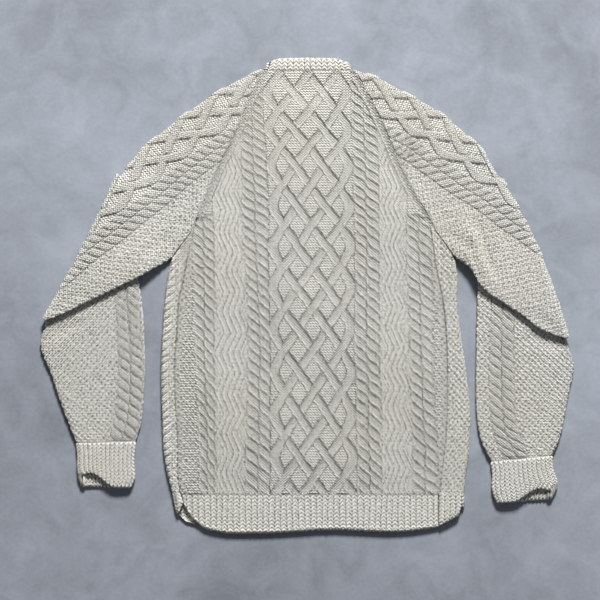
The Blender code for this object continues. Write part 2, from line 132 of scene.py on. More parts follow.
# Raglan seams from the neck down to the side seams: y, left x, right x.
RAGLAN = (
    (339.0, -66.0, 68.0),
    (316.0, -76.0, 82.0),
    (293.0, -87.0, 94.0),
    (262.0, -99.0, 109.0),
    (230.0, -113.0, 123.0),
    (187.0, -135.0, 142.0),
    (151.0, -150.0, 160.0),
    (116.0, -165.0, 182.0),
)
RAGLAN_COLUMN = {LEFT: 1, RIGHT: 2}
UNDERARM_Y = RAGLAN[-1][0]
# From the raglan seam's lower end round the underarm to the fold, x and y.
UNDERARM = {
    LEFT: ((-174.0, 94.0), (-190.0, 73.0), (-202.0, 56.0)),
    RIGHT: ((192.0, 95.0), (206.0, 77.0), (217.0, 60.0)),
}

# The body: y, left fold, left side seam, right side seam, right fold.
BODY = (
    (116.0, -165.0, -165.0, 182.0, 182.0),
    (84.0, -182.0, -175.0, 187.0, 203.0),
    (50.0, -204.0, -181.0, 192.0, 221.0),
    (22.0, -210.0, -186.0, 197.0, 225.0),
    (-7.0, -213.0, -192.0, 202.0, 224.0),
    (-52.0, -216.0, -195.0, 207.0, 229.0),
    (-101.0, -218.0, -199.0, 209.0, 236.0),
    (-145.0, -218.0, -199.0, 209.0, 241.0),
    (-187.0, -217.0, -196.0, 208.0, 244.0),
    (-230.0, -215.0, -194.0, 205.0, 242.0),
    (-269.0, -208.0, -194.0, 200.0, 237.0),
    (-296.0, -201.0, -190.0, 197.0, 234.0),
)
# The left half of the front's neck line, x and y.
FRONT_NECK = ((-82.0, 303.0), (-62.0, 281.0), (-36.0, 265.0), (1.0, 258.0))

# Lower edges of the welts, x and y: the back welt, then the front welt's strips on top, its
# folds and its layer on the floor.
HEM_EDGE_BACK = (
    (-186.0, -312.0),
    (-176.0, -328.0),
    (-158.0, -346.0),
    (-131.0, -354.0),
    (-75.0, -356.0),
    (34.0, -351.0),
    (151.0, -353.0),
    (197.0, -347.0),
)
HEM_STRIP = {
    LEFT: ((-187.2, -311.0), (-188.8, -316.0), (-190.2, -321.0)),
    RIGHT: ((197.8, -346.0), (212.0, -339.0), (226.0, -330.0)),
}
HEM_FOLD = {
    LEFT: (-195.0, -328.0),
    RIGHT: (234.0, -319.0),
}
HEM_FLOOR = (
    (-188.0, -334.0),
    (-182.0, -339.0),
    (-168.0, -343.0),
    (-120.0, -345.0),
    (0.0, -346.0),
    (120.0, -345.0),
    (175.0, -345.0),
    (210.0, -338.0),
    (227.0, -328.0),
)

# Sleeves: outer x, outer y, inner x, inner y of each row from the armhole to the elbow fold.
UPPER = {
    LEFT: (
        (-105.0, 322.0, -222.0, 44.0),
        (-150.0, 295.0, -248.0, 29.0),
        (-190.0, 267.0, -276.0, 15.0),
        (-225.0, 239.0, -303.0, 2.0),
        (-244.0, 223.0, -326.0, -9.0),
        (-258.0, 211.0, -348.0, -18.0),
    ),
    RIGHT: (
        (106.0, 326.0, 243.0, 40.0),
        (150.0, 302.0, 255.0, 19.0),
        (190.0, 280.0, 270.0, 3.0),
        (229.0, 250.0, 293.0, -12.0),
        (258.0, 222.0, 320.0, -30.0),
        (270.0, 205.0, 345.0, -47.0),
    ),
}
# The elbow fold: outer end, inner end and how far its middle bows out.
ELBOW = {
    LEFT: (-284.0, 181.0, -396.0, -34.0, -4.0),
    RIGHT: (290.0, 178.0, 392.0, -62.0, 9.0),
}
# Forearms and cuffs: the edge beside the body, then the edge away from it.
FOREARM = {
    LEFT: (
        (-270.0, 140.0, -398.0, -62.0),
        (-262.0, 80.0, -399.0, -77.0),
        (-254.0, 30.0, -393.0, -96.0),
        (-247.0, -15.0, -384.0, -116.0),
        (-244.0, -60.0, -377.0, -138.0),
        (-243.0, -107.0, -369.0, -160.0),
        (-245.0, -150.0, -360.0, -184.0),
        (-248.0, -187.0, -351.0, -207.0),
        (-257.0, -219.0, -345.0, -221.0),
    ),
    RIGHT: (
        (276.0, 126.0, 396.0, -92.0),
        (265.0, 75.0, 399.0, -103.0),
        (256.0, 22.0, 397.0, -121.0),
        (254.0, -25.0, 392.0, -142.0),
        (253.0, -75.0, 387.0, -168.0),
        (252.0, -125.0, 383.0, -191.0),
        (253.0, -172.0, 378.0, -212.0),
        (259.0, -214.0, 371.0, -230.0),
        (275.0, -249.0, 366.0, -240.0),
    ),
}
CUFF = {
    LEFT: (
        (-257.5, -219.8, -345.0, -221.8),
        (-260.0, -240.0, -343.0, -240.0),
        (-260.0, -256.0, -343.0, -258.0),
        (-259.0, -272.0, -342.0, -273.0),
        (-264.0, -285.0, -338.0, -284.0),
    ),
    RIGHT: (
        (275.4, -249.8, 366.0, -240.8),
        (278.0, -268.0, 366.0, -257.0),
        (277.0, -284.0, 370.0, -272.0),
        (279.0, -297.0, 373.0, -286.0),
        (284.0, -308.0, 365.0, -303.0),
    ),
}
# Where a cuff's top layer is drawn back the most, as a share of its width, and how far.
MOUTH = {
    LEFT: (0.82, 20.0),
    RIGHT: (0.78, 17.0),
}

# The neckband: seam x and y, free edge x and y, height of its middle.
NECKBAND_BACK = (
    (-57.5, 335.2, -54.0, 350.5, 6.7),
    (-44.0, 334.8, -42.0, 354.5, 6.0),
    (-22.0, 334.6, -21.0, 355.6, 4.6),
    (0.0, 334.5, 0.0, 356.0, 4.2),
    (24.0, 334.6, 23.0, 355.6, 4.6),
    (46.0, 334.8, 43.0, 354.5, 6.0),
    (59.5, 335.2, 56.0, 350.5, 6.7),
)
NECKBAND_FOLD = {
    LEFT: (-63.0, 336.0, -59.5, 346.5, 4.4),
    RIGHT: (65.0, 336.0, 61.5, 346.5, 4.4),
}

# Edges of the pattern's columns on the body: y, then the left edge, middle and right edge of
# each pair of ropes: outer left, inner left, inner right, outer right. The zigzags lie between
# outer and inner pairs, the lattice between the inner pairs, and moss outside them all.
COLUMNS = (
    (290.0, -173.0, -156.0, -140.0, -101.0, -83.0, -65.0, 65.5, 85.0, 104.5, 148.0, 166.0, 184.0),
    (130.0, -173.0, -156.0, -140.0, -96.5, -78.5, -59.0, 70.0, 88.0, 107.5, 148.0, 166.0, 184.0),
    (-70.0, -168.5, -153.5, -138.5, -89.0, -71.0, -56.0, 71.5, 89.5, 109.0, 152.5, 170.5, 188.5),
    (-290.0, -161.0, -149.5, -138.0, -93.5, -74.0, -56.0, 74.5, 94.0, 112.0, 158.5, 176.5, 194.5),
)
# Where the rows of the lattice's crossings lie: y, number of the row.
LATTICE_ROWS = (
    (334.0, -1.1),
    (304.0, 0.0),
    (194.0, 4.0),
    (44.0, 9.0),
    (-82.0, 13.0),
    (-274.0, 19.0),
    (-340.0, 21.1),
)

# Where a sleeve's first crossing is, and the length of one row of them.
SLEEVE_TURNS = {LEFT: (140.0, 31.5), RIGHT: (94.0, 30.7)}
# How far from the inner edge a forearm's first rope starts.
FOREARM_ROPES = {LEFT: 3.0, RIGHT: 20.0}

# The middle line of each sleeve's lattice: along the outer edge, then straight on (x, y).
SLEEVE_LINE = {
    LEFT: (
        (-66.0, 339.0),
        (-105.0, 322.0),
        (-150.0, 295.0),
        (-190.0, 267.0),
        (-232.0, 235.0),
        (-281.0, 193.0),
        (-331.0, 152.0),
        (-378.0, 116.0),
        (-440.0, 66.0),
        (-600.0, -64.0),
    ),
    RIGHT: (
        (68.0, 339.0),
        (106.0, 326.0),
        (150.0, 302.0),
        (190.0, 280.0),
        (229.0, 252.0),
        (262.0, 229.0),
        (300.0, 202.0),
        (356.0, 161.0),
        (430.0, 109.0),
        (600.0, -10.0),
    ),
}

# Soft creases: x and y of both ends, half width, depth (a ridge where it is below 0).
CREASES = {
    "back": (
        (-120.0, 180.0, -90.0, 60.0, 16.0, 1.2),
        (150.0, 120.0, 196.0, -60.0, 10.0, 1.9),
        (206.0, 30.0, 204.0, -270.0, 7.0, 1.3),
        (-192.0, 20.0, -198.0, -150.0, 8.0, 1.2),
        (-150.0, 60.0, -172.0, -90.0, 12.0, 1.2),
        (150.0, -120.0, 170.0, -280.0, 14.0, 1.2),
        (-150.0, -140.0, -172.0, -280.0, 12.0, 1.0),
        (-40.0, -180.0, 60.0, -230.0, 26.0, 0.8),
        (-60.0, 60.0, 40.0, 20.0, 30.0, 0.8),
    ),
    "sleeve_right": (
        (251.0, 121.0, 283.0, 14.0, 6.0, 2.4),
        (238.0, 112.0, 268.0, 22.0, 6.0, -2.0),
        (200.0, 100.0, 262.0, 60.0, 9.0, 1.5),
        (330.0, -20.0, 384.0, -64.0, 8.0, 1.4),
    ),
    "sleeve_left": (
        (-200.0, 92.0, -250.0, 60.0, 9.0, 1.6),
        (-225.0, 130.0, -300.0, 60.0, 16.0, 1.0),
        (-330.0, 10.0, -384.0, -28.0, 8.0, 1.2),
    ),
    "forearm_right": (
        (384.0, -78.0, 330.0, -60.0, 10.0, 1.5),
        (372.0, -110.0, 350.0, -200.0, 9.0, 1.2),
    ),
    "forearm_left": (
        (-392.0, -66.0, -330.0, -36.0, 9.0, 1.6),
        (-372.0, -90.0, -340.0, -180.0, 12.0, 0.9),
    ),
}


# ---------------------------------------------------------------- sizes and colours of the yarn


def size_mm(name, description, default):
    """A size in millimetres, shown in the panel."""
    return FloatProperty(name=name, description=description + ", mm", default=default)


def plain_colour(name, description, *default):
    """A colour given as red, green and blue, shown in the panel."""
    return FloatVectorProperty(
        name=name, description=description, subtype="COLOR", size=4, default=(*default, 1.0)
    )


class KnitSizes(bpy.types.PropertyGroup):
    """How fine and how deep the knitting is, in millimetres."""

    mesh: size_mm("Mesh", "Spacing of the knitted surface's points", 1.6)
    rope: size_mm("Rope height", "How far ropes stand proud", 2.35)
    rope_turn: size_mm("Rope turn", "Length of one crossing of a rope", 15.2)
    strand: size_mm("Strand height", "How far lattice strands stand proud", 2.3)
    strand_width: size_mm("Strand width", "Width of a lattice strand", 11.2)
    zigzag: size_mm("Zigzag height", "Depth of the zigzag's ribs", 2.0)
    zigzag_turn: size_mm("Zigzag turn", "Length of one zigzag", 60.0)
    moss: size_mm("Moss height", "Height of a moss bump", 1.7)
    moss_pitch: size_mm("Moss pitch", "Distance between moss bumps in a row", 8.6)
    rib: size_mm("Rib height", "Depth of the welts' ribs", 2.5)
    rib_pitch: size_mm("Rib pitch", "Width of one rib of the welts", 8.8)
    stitch: size_mm("Stitch width", "Width of one stitch", 4.4)
    row: size_mm("Row height", "Height of one row of stitches", 3.9)
    uneven: size_mm("Unevenness", "How far single stitches stand in or out", 0.32)
    sunk: size_mm("Sunk", "How far the ground lies inside the CAD's face", 1.0)


class WoolColours(bpy.types.PropertyGroup):
    """Colours of the undyed yarn, and the colour of the painted shade in its grooves."""

    wool: plain_colour("Wool", "The yarn in full light", 0.845, 0.843, 0.808)
    # Painted shade: the colour painted into the grooves between cables and between stitches, where shade
    # falls.
    painted_shade: plain_colour("Painted shade colour", "The yarn between its cables", 0.125, 0.115, 0.098)
    cream: plain_colour("Cream", "The yarn where it has yellowed", 0.84, 0.822, 0.745)


class StageSizes(bpy.types.PropertyGroup):
    """The floor, the lights and the camera."""

    floor: plain_colour("Floor", "Colour of the floor", 0.325, 0.352, 0.408)
    key: FloatProperty(name="Key light", description="Power of the main light", default=292.0, unit="POWER")
    fill: FloatProperty(name="Fill light", description="Strength of the light all round", default=0.14)
    span: FloatProperty(name="Span", description="Width of floor in view", default=0.9, unit="LENGTH")
    distance: FloatProperty(name="Distance", description="Height of the camera", default=2.6, unit="LENGTH")


# ---------------------------------------------------------------- lines and small sums


def smooth(value):
    """0 to 1 with soft ends."""
    value = np.clip(value, 0.0, 1.0)
    return value * value * (3.0 - 2.0 * value)


def curve(keys, values, at):
    """A smooth line through a table's values, read at any keys."""
    keys = np.asarray(keys, float)
    values = np.asarray(values, float)
    if keys[0] > keys[-1]:
        keys = keys[::-1]
        values = values[::-1]
    slope = np.gradient(values, keys)
    i = np.clip(np.searchsorted(keys, at) - 1, 0, len(keys) - 2)
    step = keys[i + 1] - keys[i]
    t = np.clip((at - keys[i]) / step, 0.0, 1.0)
    start = (1.0 + 2.0 * t) * (1.0 - t) ** 2 * values[i] + t * (1.0 - t) ** 2 * step * slope[i]
    stop = t * t * (3.0 - 2.0 * t) * values[i + 1] - t * t * (1.0 - t) * step * slope[i + 1]
    return start + stop


def read(table, column, at):
    """A smooth line through a column of a table, read at values of its first column."""
    return curve([row[0] for row in table], [row[column] for row in table], at)


def lengths(points):
    """Length of a line up to each of its points."""
    steps = np.linalg.norm(np.diff(np.asarray(points, float), axis=0), axis=1)
    return np.concatenate([[0.0], np.cumsum(steps)])


def points_at(points, run, at):
    """Each coordinate of a line of straight runs, read at lengths along it."""
    return [np.interp(at, run, column) for column in np.asarray(points).T]


def line_through(points, share):
    """Points of a smooth line through the given ones, at shares of its length."""
    points = np.asarray(points, float)
    runs = lengths(points)
    return np.stack([curve(runs, row, np.asarray(share) * runs[-1]) for row in points.T], axis=-1)


def beside(line, x, y):
    """How far along a line, and how far from it, each point of the plane is."""
    line = np.asarray(line, float)
    runs = lengths(line)
    best = np.full(x.shape, 1e9)
    along = np.zeros(x.shape)
    for a, b, run in zip(line[:-1], line[1:], runs[:-1]):
        way = b - a
        size = math.hypot(*way)
        t = np.clip(((x - a[0]) * way[0] + (y - a[1]) * way[1]) / size**2, 0.0, 1.0)
        away = np.hypot(x - a[0] - t * way[0], y - a[1] - t * way[1])
        nearer = away < best
        best = np.where(nearer, away, best)
        along = np.where(nearer, run + t * size, along)
    return along, best


def wander(x, y, size, seed):
    """Slow unevenness between about -1 and 1, with bumps of the given size."""
    chance = np.random.RandomState(seed)
    total = np.zeros(np.shape(x))
    for _ in range(6):
        angle, phase = chance.uniform(0.0, 2.0 * math.pi, 2)
        wave = 2.0 * math.pi / (size * chance.uniform(0.8, 2.2))
        total = total + np.sin(wave * (x * math.cos(angle) + y * math.sin(angle)) + phase)
    return total / 3.2


def creased(name, x, y):
    """Depth of a piece's soft creases."""
    depth = np.zeros(np.shape(x))
    for x0, y0, x1, y1, half, deep in CREASES.get(name, ()):
        along, away = beside(((x0, y0), (x1, y1)), x, y)
        whole = math.dist((x0, y0), (x1, y1))
        ends = smooth(np.minimum(along, whole - along) / (0.35 * whole) + 0.15)
        depth += deep * ends * np.exp(-((away / half) ** 2))
    return depth

# ---------------------------------------------------------------- stitches with relief


def rope(share, along, turn):
    """A rope of crossed strands, 0 to 1 high. The share runs from 0 to 1 across it."""
    a = 2.0 * share - 1.0
    body = np.sqrt(np.clip(1.0 - np.abs(a) ** 4.5, 0.0, 1.0))
    phase = along / turn + 0.56 * a - 0.07 * np.sin(math.pi * a)
    gap = np.abs(phase - np.round(phase))
    strand = 1.0 - 0.72 * np.exp(-((gap / 0.08) ** 2)) - 0.22 * (1.0 - np.sin(math.pi * gap))
    return body * strand


def lattice(across, rows, half_width):
    """Crossing strands, 0 to 1 high. Across is in half diamonds from the middle line."""
    rising = np.abs(np.mod(across - rows, 2.0) - 1.0)
    falling = np.abs(np.mod(across + rows, 2.0) - 1.0)

    def strand(away):
        return np.sqrt(np.clip(1.0 - np.abs(away / half_width) ** 5.0, 0.0, 1.0))

    def clear(away):
        return smooth((away / half_width - 0.95) / 0.5)

    over_rising = np.mod(np.round(rows), 2.0) < 0.5
    first = np.where(over_rising, rising, falling)
    second = np.where(over_rising, falling, rising)
    inside = np.maximum(strand(first), strand(second) * clear(first))
    even = np.abs(rows - 2.0 * np.round(rows / 2.0))
    bend = 3.0 - np.sqrt(even**2 + 0.08)
    edge = strand((np.abs(across) - bend) * 0.95)
    reach = np.abs(across)
    return np.where(reach > 2.06, edge, inside) * (reach < 3.2)


def moss(x, y, pitch):
    """Rows of little knots, each between two of the row before, 0 to 1 high."""
    x = x + 1.5 * wander(x, y, 14.0, 71)
    y = y + 1.5 * wander(x, y, 12.0, 72)
    knots = np.cos(2.0 * math.pi * x / pitch) * np.cos(2.0 * math.pi * y / (1.08 * pitch))
    uneven = 0.82 + 0.18 * wander(x, y, 12.0, 73)
    return np.clip(0.5 + 0.62 * knots, 0.0, 1.0) ** 0.8 * uneven


def zigzag(x, y, left, right, turn):
    """Narrow ribs that wave from side to side, 0 to 1 high."""
    wave = np.arcsin(0.96 * np.sin(2.0 * math.pi * y / turn)) / 1.29
    middle = 0.5 * (left + right)
    pitch = (right - left) / ZIGZAG_RIBS
    ribs = (x - middle - ZIGZAG_SWAY * wave) / pitch
    height = np.abs(np.sin(math.pi * ribs)) ** 0.38
    inside = smooth((2.55 - np.abs(ribs)) / 0.3)
    return height * inside + 0.45 * (1.0 - inside)


def chain(away, along, width):
    """A seam's column of big plain stitches, 0 to 1 high."""
    share = away / width
    body = np.sqrt(np.clip(1.0 - (2.0 * share - 1.0) ** 2, 0.0, 1.0))
    phase = along / 5.4 + 0.6 * np.abs(2.0 * share - 1.0)
    gap = np.abs(phase - np.round(phase))
    return body * (1.0 - 0.55 * np.exp(-((gap / 0.17) ** 2)))


def ribbing(share, along):
    """Ribs one stitch wide, 0 to 1 high, as columns of V: the share counts the ribs."""
    away = 2.0 * np.abs(share - np.round(share))
    phase = along / RIB_ROW + 0.75 * away
    gap = np.abs(phase - np.round(phase))
    notch = np.exp(-((gap / 0.17) ** 2))
    groove = 1.0 - np.sqrt(np.clip(1.0 - away**2, 0.0, 1.0))
    return (1.0 - groove * (0.8 + 0.2 * notch)) * (1.0 - 0.17 * notch)


def body_relief(x, y, sizes):
    """Relief of the body's pattern in mm, and where it is purl."""
    x = x + 1.3 * wander(x, y, 90.0, 3) + 0.5 * wander(x, y, 24.0, 4)
    y = y + 1.6 * wander(x, y, 110.0, 5) + 0.6 * wander(x, y, 26.0, 6)
    edges = [read(COLUMNS, k, y) for k in range(1, 13)]
    height = np.zeros(x.shape)
    purl = np.ones(x.shape)
    below_arms = smooth((UNDERARM_Y + 8.0 - y) / 8.0)
    for k in (0, 1, 3, 4, 6, 7, 9, 10):
        left, right = edges[k], edges[k + 1]
        share = (x - left) / (right - left)
        inside = (share > 0.0) & (share < 1.0)
        turn = sizes.rope_turn * (1.0 + 0.08 * np.clip((60.0 - y) / 350.0, -1.0, 1.0))
        made = sizes.rope * rope(share, y + 5.0 * (k % 2), turn)
        if k in (0, 1, 9, 10):
            made = made * below_arms
        height = np.where(inside, made, height)
        purl = np.where(inside & (made > 0.4), 0.0, purl)
    for left, right, shift in ((edges[2], edges[3], 10.0), (edges[8], edges[9], 32.0)):
        inside = (x > left) & (x < right)
        made = sizes.zigzag * zigzag(x, y + shift, left, right, sizes.zigzag_turn)
        height = np.where(inside, made, height)
        purl = np.where(inside, 0.45, purl)
    left, right = edges[5], edges[6]
    half = (right - left) / 6.0
    rows = np.interp(y, *zip(*reversed(LATTICE_ROWS)))
    inside = (x > left) & (x < right)
    width = 0.5 * sizes.strand_width / LATTICE_STEP
    made = sizes.strand * lattice((x - 0.5 * (left + right)) / half, rows, width)
    height = np.where(inside, made, height)
    purl = np.where(inside & (made > 0.5), 0.0, purl)
    outside = (x < edges[0]) | (x > edges[11])
    height = np.where(outside & (y < UNDERARM_Y + 14.0), sizes.moss * moss(x, y, sizes.moss_pitch), height)
    return height, purl


def sleeve_relief(line, first, turn, x, y, sizes):
    """Relief of an upper arm: half its lattice, two ropes, then moss."""
    x = x + 1.2 * wander(x, y, 80.0, 13)
    y = y + 1.2 * wander(x, y, 80.0, 15)
    along, away = beside(line, x, y)
    rows = 1.0 + (along - first) / turn
    height = sizes.strand * lattice(away / SLEEVE_STEP, rows, 0.5 * sizes.strand_width / SLEEVE_STRAND)
    purl = np.where(height > 0.5, 0.0, 1.0)
    for left in (SLEEVE_ROPES, SLEEVE_ROPES + ROPE_WIDTH):
        share = (away - left) / ROPE_WIDTH
        inside = (share > 0.0) & (share < 1.0)
        height = np.where(inside, sizes.rope * rope(share, along + 0.3 * left, sizes.rope_turn), height)
        purl = np.where(inside, 0.0, purl)
    rest = away >= SLEEVE_ROPES + 2.0 * ROPE_WIDTH
    height = np.where(rest, 0.9 * sizes.moss * moss(along, away, sizes.moss_pitch), height)
    purl = np.where(rest, 0.5, purl)
    return height, purl, along, away

# ---------------------------------------------------------------- knitted surfaces


def soften(height, ring):
    """The relief with its detail smoothed away."""
    for _ in range(3):
        if ring:
            sides = np.roll(height, 1, axis=1) + np.roll(height, -1, axis=1)
        else:
            wide = np.pad(height, ((0, 0), (1, 1)), mode="edge")
            sides = wide[:, :-2] + wide[:, 2:]
        tall = np.pad(height, ((1, 1), (0, 0)), mode="edge")
        height = (2.0 * height + sides + tall[:-2] + tall[2:]) / 6.0
    return height


def normals(points, ring):
    """The direction square to a grid of points at each of them."""
    down = np.gradient(points, axis=0)
    if ring:
        over = np.roll(points, -1, axis=1) - np.roll(points, 1, axis=1)
    else:
        over = np.gradient(points, axis=1)
    facing = np.cross(over, down)
    size = np.linalg.norm(facing, axis=2, keepdims=True)
    return facing / np.maximum(size, 1e-9)


class Knitted:
    """Grids of knitted surface that are put together into one mesh."""

    def __init__(self, sizes):
        self.sizes = sizes
        self.points = []
        self.faces = []
        self.shade_purl_tone = []
        self.stitches = []
        self.count = 0

    def add(self, x, y, z, relief, purl, stitches, ring=False, flip=False):
        """Adds a grid of points in mm, pushed out along its normals by its relief."""
        points = np.stack([x, y, z], axis=-1)
        rows, columns = relief.shape
        facing = normals(points, ring) * (-1.0 if flip else 1.0)
        chance = np.random.RandomState(rows + columns)
        fine = chance.uniform(-1.0, 1.0, relief.shape)
        fine = fine + 0.6 * np.roll(chance.uniform(-1.0, 1.0, relief.shape), 1)
        fine = self.sizes.uneven * fine
        out = points + facing * (relief + fine - self.sizes.sunk)[..., None]
        out[..., 2] = np.maximum(out[..., 2], GROUND / MM + 0.15)
        # Painted shade: a share of painted shade in the relief's grooves, where shade falls, varied at
        # random, with scattered specks of painted shade between the stitches.
        painted_shade = np.clip((soften(relief, ring) - relief - 0.06) / 0.42, 0.0, 1.0)
        painted_shade = painted_shade * (0.75 + 0.5 * chance.uniform(-1.0, 1.0, relief.shape))
        painted_shade = np.clip(painted_shade + 0.5 * chance.uniform(0.0, 1.0, relief.shape) ** 6, 0.0, 1.0)
        tone = 0.5 + 0.32 * wander(x, y, 130.0, 41) + 0.35 * smooth((y - 90.0) / 220.0)
        shade_purl_tone = np.stack([painted_shade, purl, np.clip(tone, 0.0, 1.0), np.ones(relief.shape)], axis=-1)
        wrap = columns if ring else columns - 1
        i, j = np.meshgrid(np.arange(rows - 1), np.arange(wrap), indexing="ij")
        a = self.count + i * columns + j
        b = self.count + i * columns + (j + 1) % columns
        quads = np.stack([a, a + columns, b + columns, b], axis=-1).reshape(-1, 4)
        u, v = stitches
        if ring:
            u = np.concatenate([u, u[:, -1:] + (u[:, -1:] - u[:, -2:-1])], axis=1)
            v = np.concatenate([v, v[:, :1]], axis=1)
        coords = np.stack([u, v], axis=-1)
        corners = [coords[i, j], coords[i + 1, j], coords[i + 1, j + 1], coords[i, j + 1]]
        corners = np.stack(corners, axis=2).reshape(-1, 4, 2)
        if flip:
            quads = quads[:, ::-1]
            corners = corners[:, ::-1]
        self.points.append(out.reshape(-1, 3))
        self.faces.append(quads)
        self.shade_purl_tone.append(shade_purl_tone.reshape(-1, 4))
        self.stitches.append(corners.reshape(-1, 2))
        self.count += rows * columns

    def build(self, name, material):
        """Makes the object, with its stitch map and, for the material, its painted shade share, purl share
        and tone.
        """
        points = np.concatenate(self.points) * MM
        faces = np.concatenate(self.faces)
        mesh = bpy.data.meshes.new(name)
        mesh.vertices.add(len(points))
        mesh.vertices.foreach_set("co", points.ravel())
        mesh.loops.add(faces.size)
        mesh.loops.foreach_set("vertex_index", faces.ravel())
        mesh.polygons.add(len(faces))
        mesh.polygons.foreach_set("loop_start", np.arange(len(faces)) * 4)
        mesh.update(calc_edges=True)
        mesh.validate()
        layer = mesh.uv_layers.new(name="stitch")
        layer.data.foreach_set("uv", np.concatenate(self.stitches).ravel())
        shade_purl_tone = mesh.attributes.new("shade_purl_tone", "FLOAT_COLOR", "POINT")
        shade_purl_tone.data.foreach_set("color", np.concatenate(self.shade_purl_tone).ravel())
        mesh.materials.append(material)
        mesh.shade_smooth()
        made = bpy.data.objects.new(name, mesh)
        bpy.context.scene.collection.objects.link(made)
        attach(made, "root")
        return made


def rim(away, drop, reach):
    """How far a surface has turned down at this distance from its edge."""
    share = np.clip(1.0 - away / reach, 0.0, 1.0)
    return drop * (1.0 - np.sqrt(np.clip(1.0 - share**2, 0.0, 1.0)))


def armhole(side):
    """The lower end of a raglan seam and the points under the arm, down to the side's fold."""
    return [(RAGLAN[-1][RAGLAN_COLUMN[side]], UNDERARM_Y), *UNDERARM[side]]


def edge_of(y, side):
    """Where the back ends on this side at each y, and where the whole body does."""
    seam_column, fold_column = (2, 1) if side == LEFT else (3, 4)
    above = read(RAGLAN, RAGLAN_COLUMN[side], y)
    under = np.asarray(armhole(side)[::-1])
    arm = np.interp(y, under[:, 1], under[:, 0])
    fold = np.where(y > under[0, 1], arm, read(BODY, fold_column, y))
    in_raglan = y > UNDERARM_Y
    return np.where(in_raglan, above, read(BODY, seam_column, y)), np.where(in_raglan, above, fold)


def neck_sag(x, y):
    """How far the back has sunk into the front's neck opening, 0 to 1."""
    return smooth((1.0 - np.hypot(x / 50.0, (y - 338.0) / 60.0)) / 0.45)


# ---------------------------------------------------------------- materials


class Wiring:
    """Short ways to place nodes and join them."""

    def __init__(self, tree):
        self.tree = tree

    def fill(self, node, values):
        """Joins outputs to a node's inputs, or sets the inputs to constants."""
        for key, value in values.items():
            if isinstance(value, bpy.types.NodeSocket):
                self.tree.links.new(value, node.inputs[key])
            else:
                node.inputs[key].default_value = value

    def node(self, kind, values=None, **settings):
        made = self.tree.nodes.new(kind)
        for key, value in settings.items():
            setattr(made, key, value)
        self.fill(made, values or {})
        return made

    def math(self, operation, *values):
        return self.node("ShaderNodeMath", dict(enumerate(values)), operation=operation).outputs[0]

    def mix(self, kind, share, first, second):
        """A blend of two numbers (FLOAT) or of two colours (RGBA)."""
        slot, result = (2, 0) if kind == "FLOAT" else (6, 2)
        made = self.node("ShaderNodeMix", {0: share, slot: first, slot + 1: second}, data_type=kind)
        return made.outputs[result]

    def noise(self, place, scale, detail, **more):
        values = {"Vector": place, "Scale": scale, "Detail": detail, **more}
        return self.node("ShaderNodeTexNoise", values).outputs["Fac"]

    def bump(self, height, strength, distance, **more):
        values = {"Height": height, "Strength": strength, "Distance": distance, **more}
        return self.node("ShaderNodeBump", values).outputs[0]


def new_group(name, inputs, outputs):
    """A node group's wiring, with what it is given and what it gives."""
    tree = bpy.data.node_groups.new(name, "ShaderNodeTree")
    for way, sockets in (("INPUT", inputs), ("OUTPUT", outputs)):
        for socket, kind in sockets.items():
            tree.interface.new_socket(socket, in_out=way, socket_type="NodeSocket" + kind)
    w = Wiring(tree)
    return w, w.node("NodeGroupInput").outputs, w.node("NodeGroupOutput")


def stitch_group():
    """Height of single stitches: plain ones as columns of V, purl ones as rows of beads."""
    if "Yarn stitches" in bpy.data.node_groups:
        return bpy.data.node_groups["Yarn stitches"]
    w, given, out = new_group("Yarn stitches", {"Stitch map": "Vector", "Purl": "Float"}, {"Height": "Float"})
    split = w.node("ShaderNodeSeparateXYZ", {0: given["Stitch map"]})
    u, v = split.outputs[0], split.outputs[1]
    turn = 2.0 * math.pi

    def from_middle(value):
        """Distance from the middle of each stitch, 0 to 0.5."""
        return w.math("ABSOLUTE", w.math("SUBTRACT", w.math("FRACT", value), 0.5))

    def rounded(value, depth):
        """A rounded top: 1 in the middle of each stitch."""
        away = from_middle(value)
        return w.math("SUBTRACT", 1.0, w.math("MULTIPLY", w.math("MULTIPLY", away, away), depth))

    leg = rounded(w.math("ADD", v, w.math("MULTIPLY", from_middle(u), 1.5)), 4.0)
    wide = rounded(w.math("MULTIPLY", u, 2.0), 3.4)
    plain = w.math("MULTIPLY", leg, w.math("ADD", 0.62, w.math("MULTIPLY", wide, 0.42)))
    wave = w.math("MULTIPLY", w.math("SINE", w.math("MULTIPLY", u, turn)), 0.2)
    row = w.math("ADD", v, wave)
    stagger = w.math("ADD", u, w.math("MULTIPLY", w.math("FLOOR", row), 0.37))
    gap = w.math("MULTIPLY", w.math("COSINE", w.math("MULTIPLY", stagger, turn)), 0.22)
    bead = w.math("MULTIPLY", rounded(row, 4.0), w.math("ADD", 0.78, gap))
    w.fill(out, {"Height": w.mix("FLOAT", given["Purl"], plain, bead)})
    return w.tree


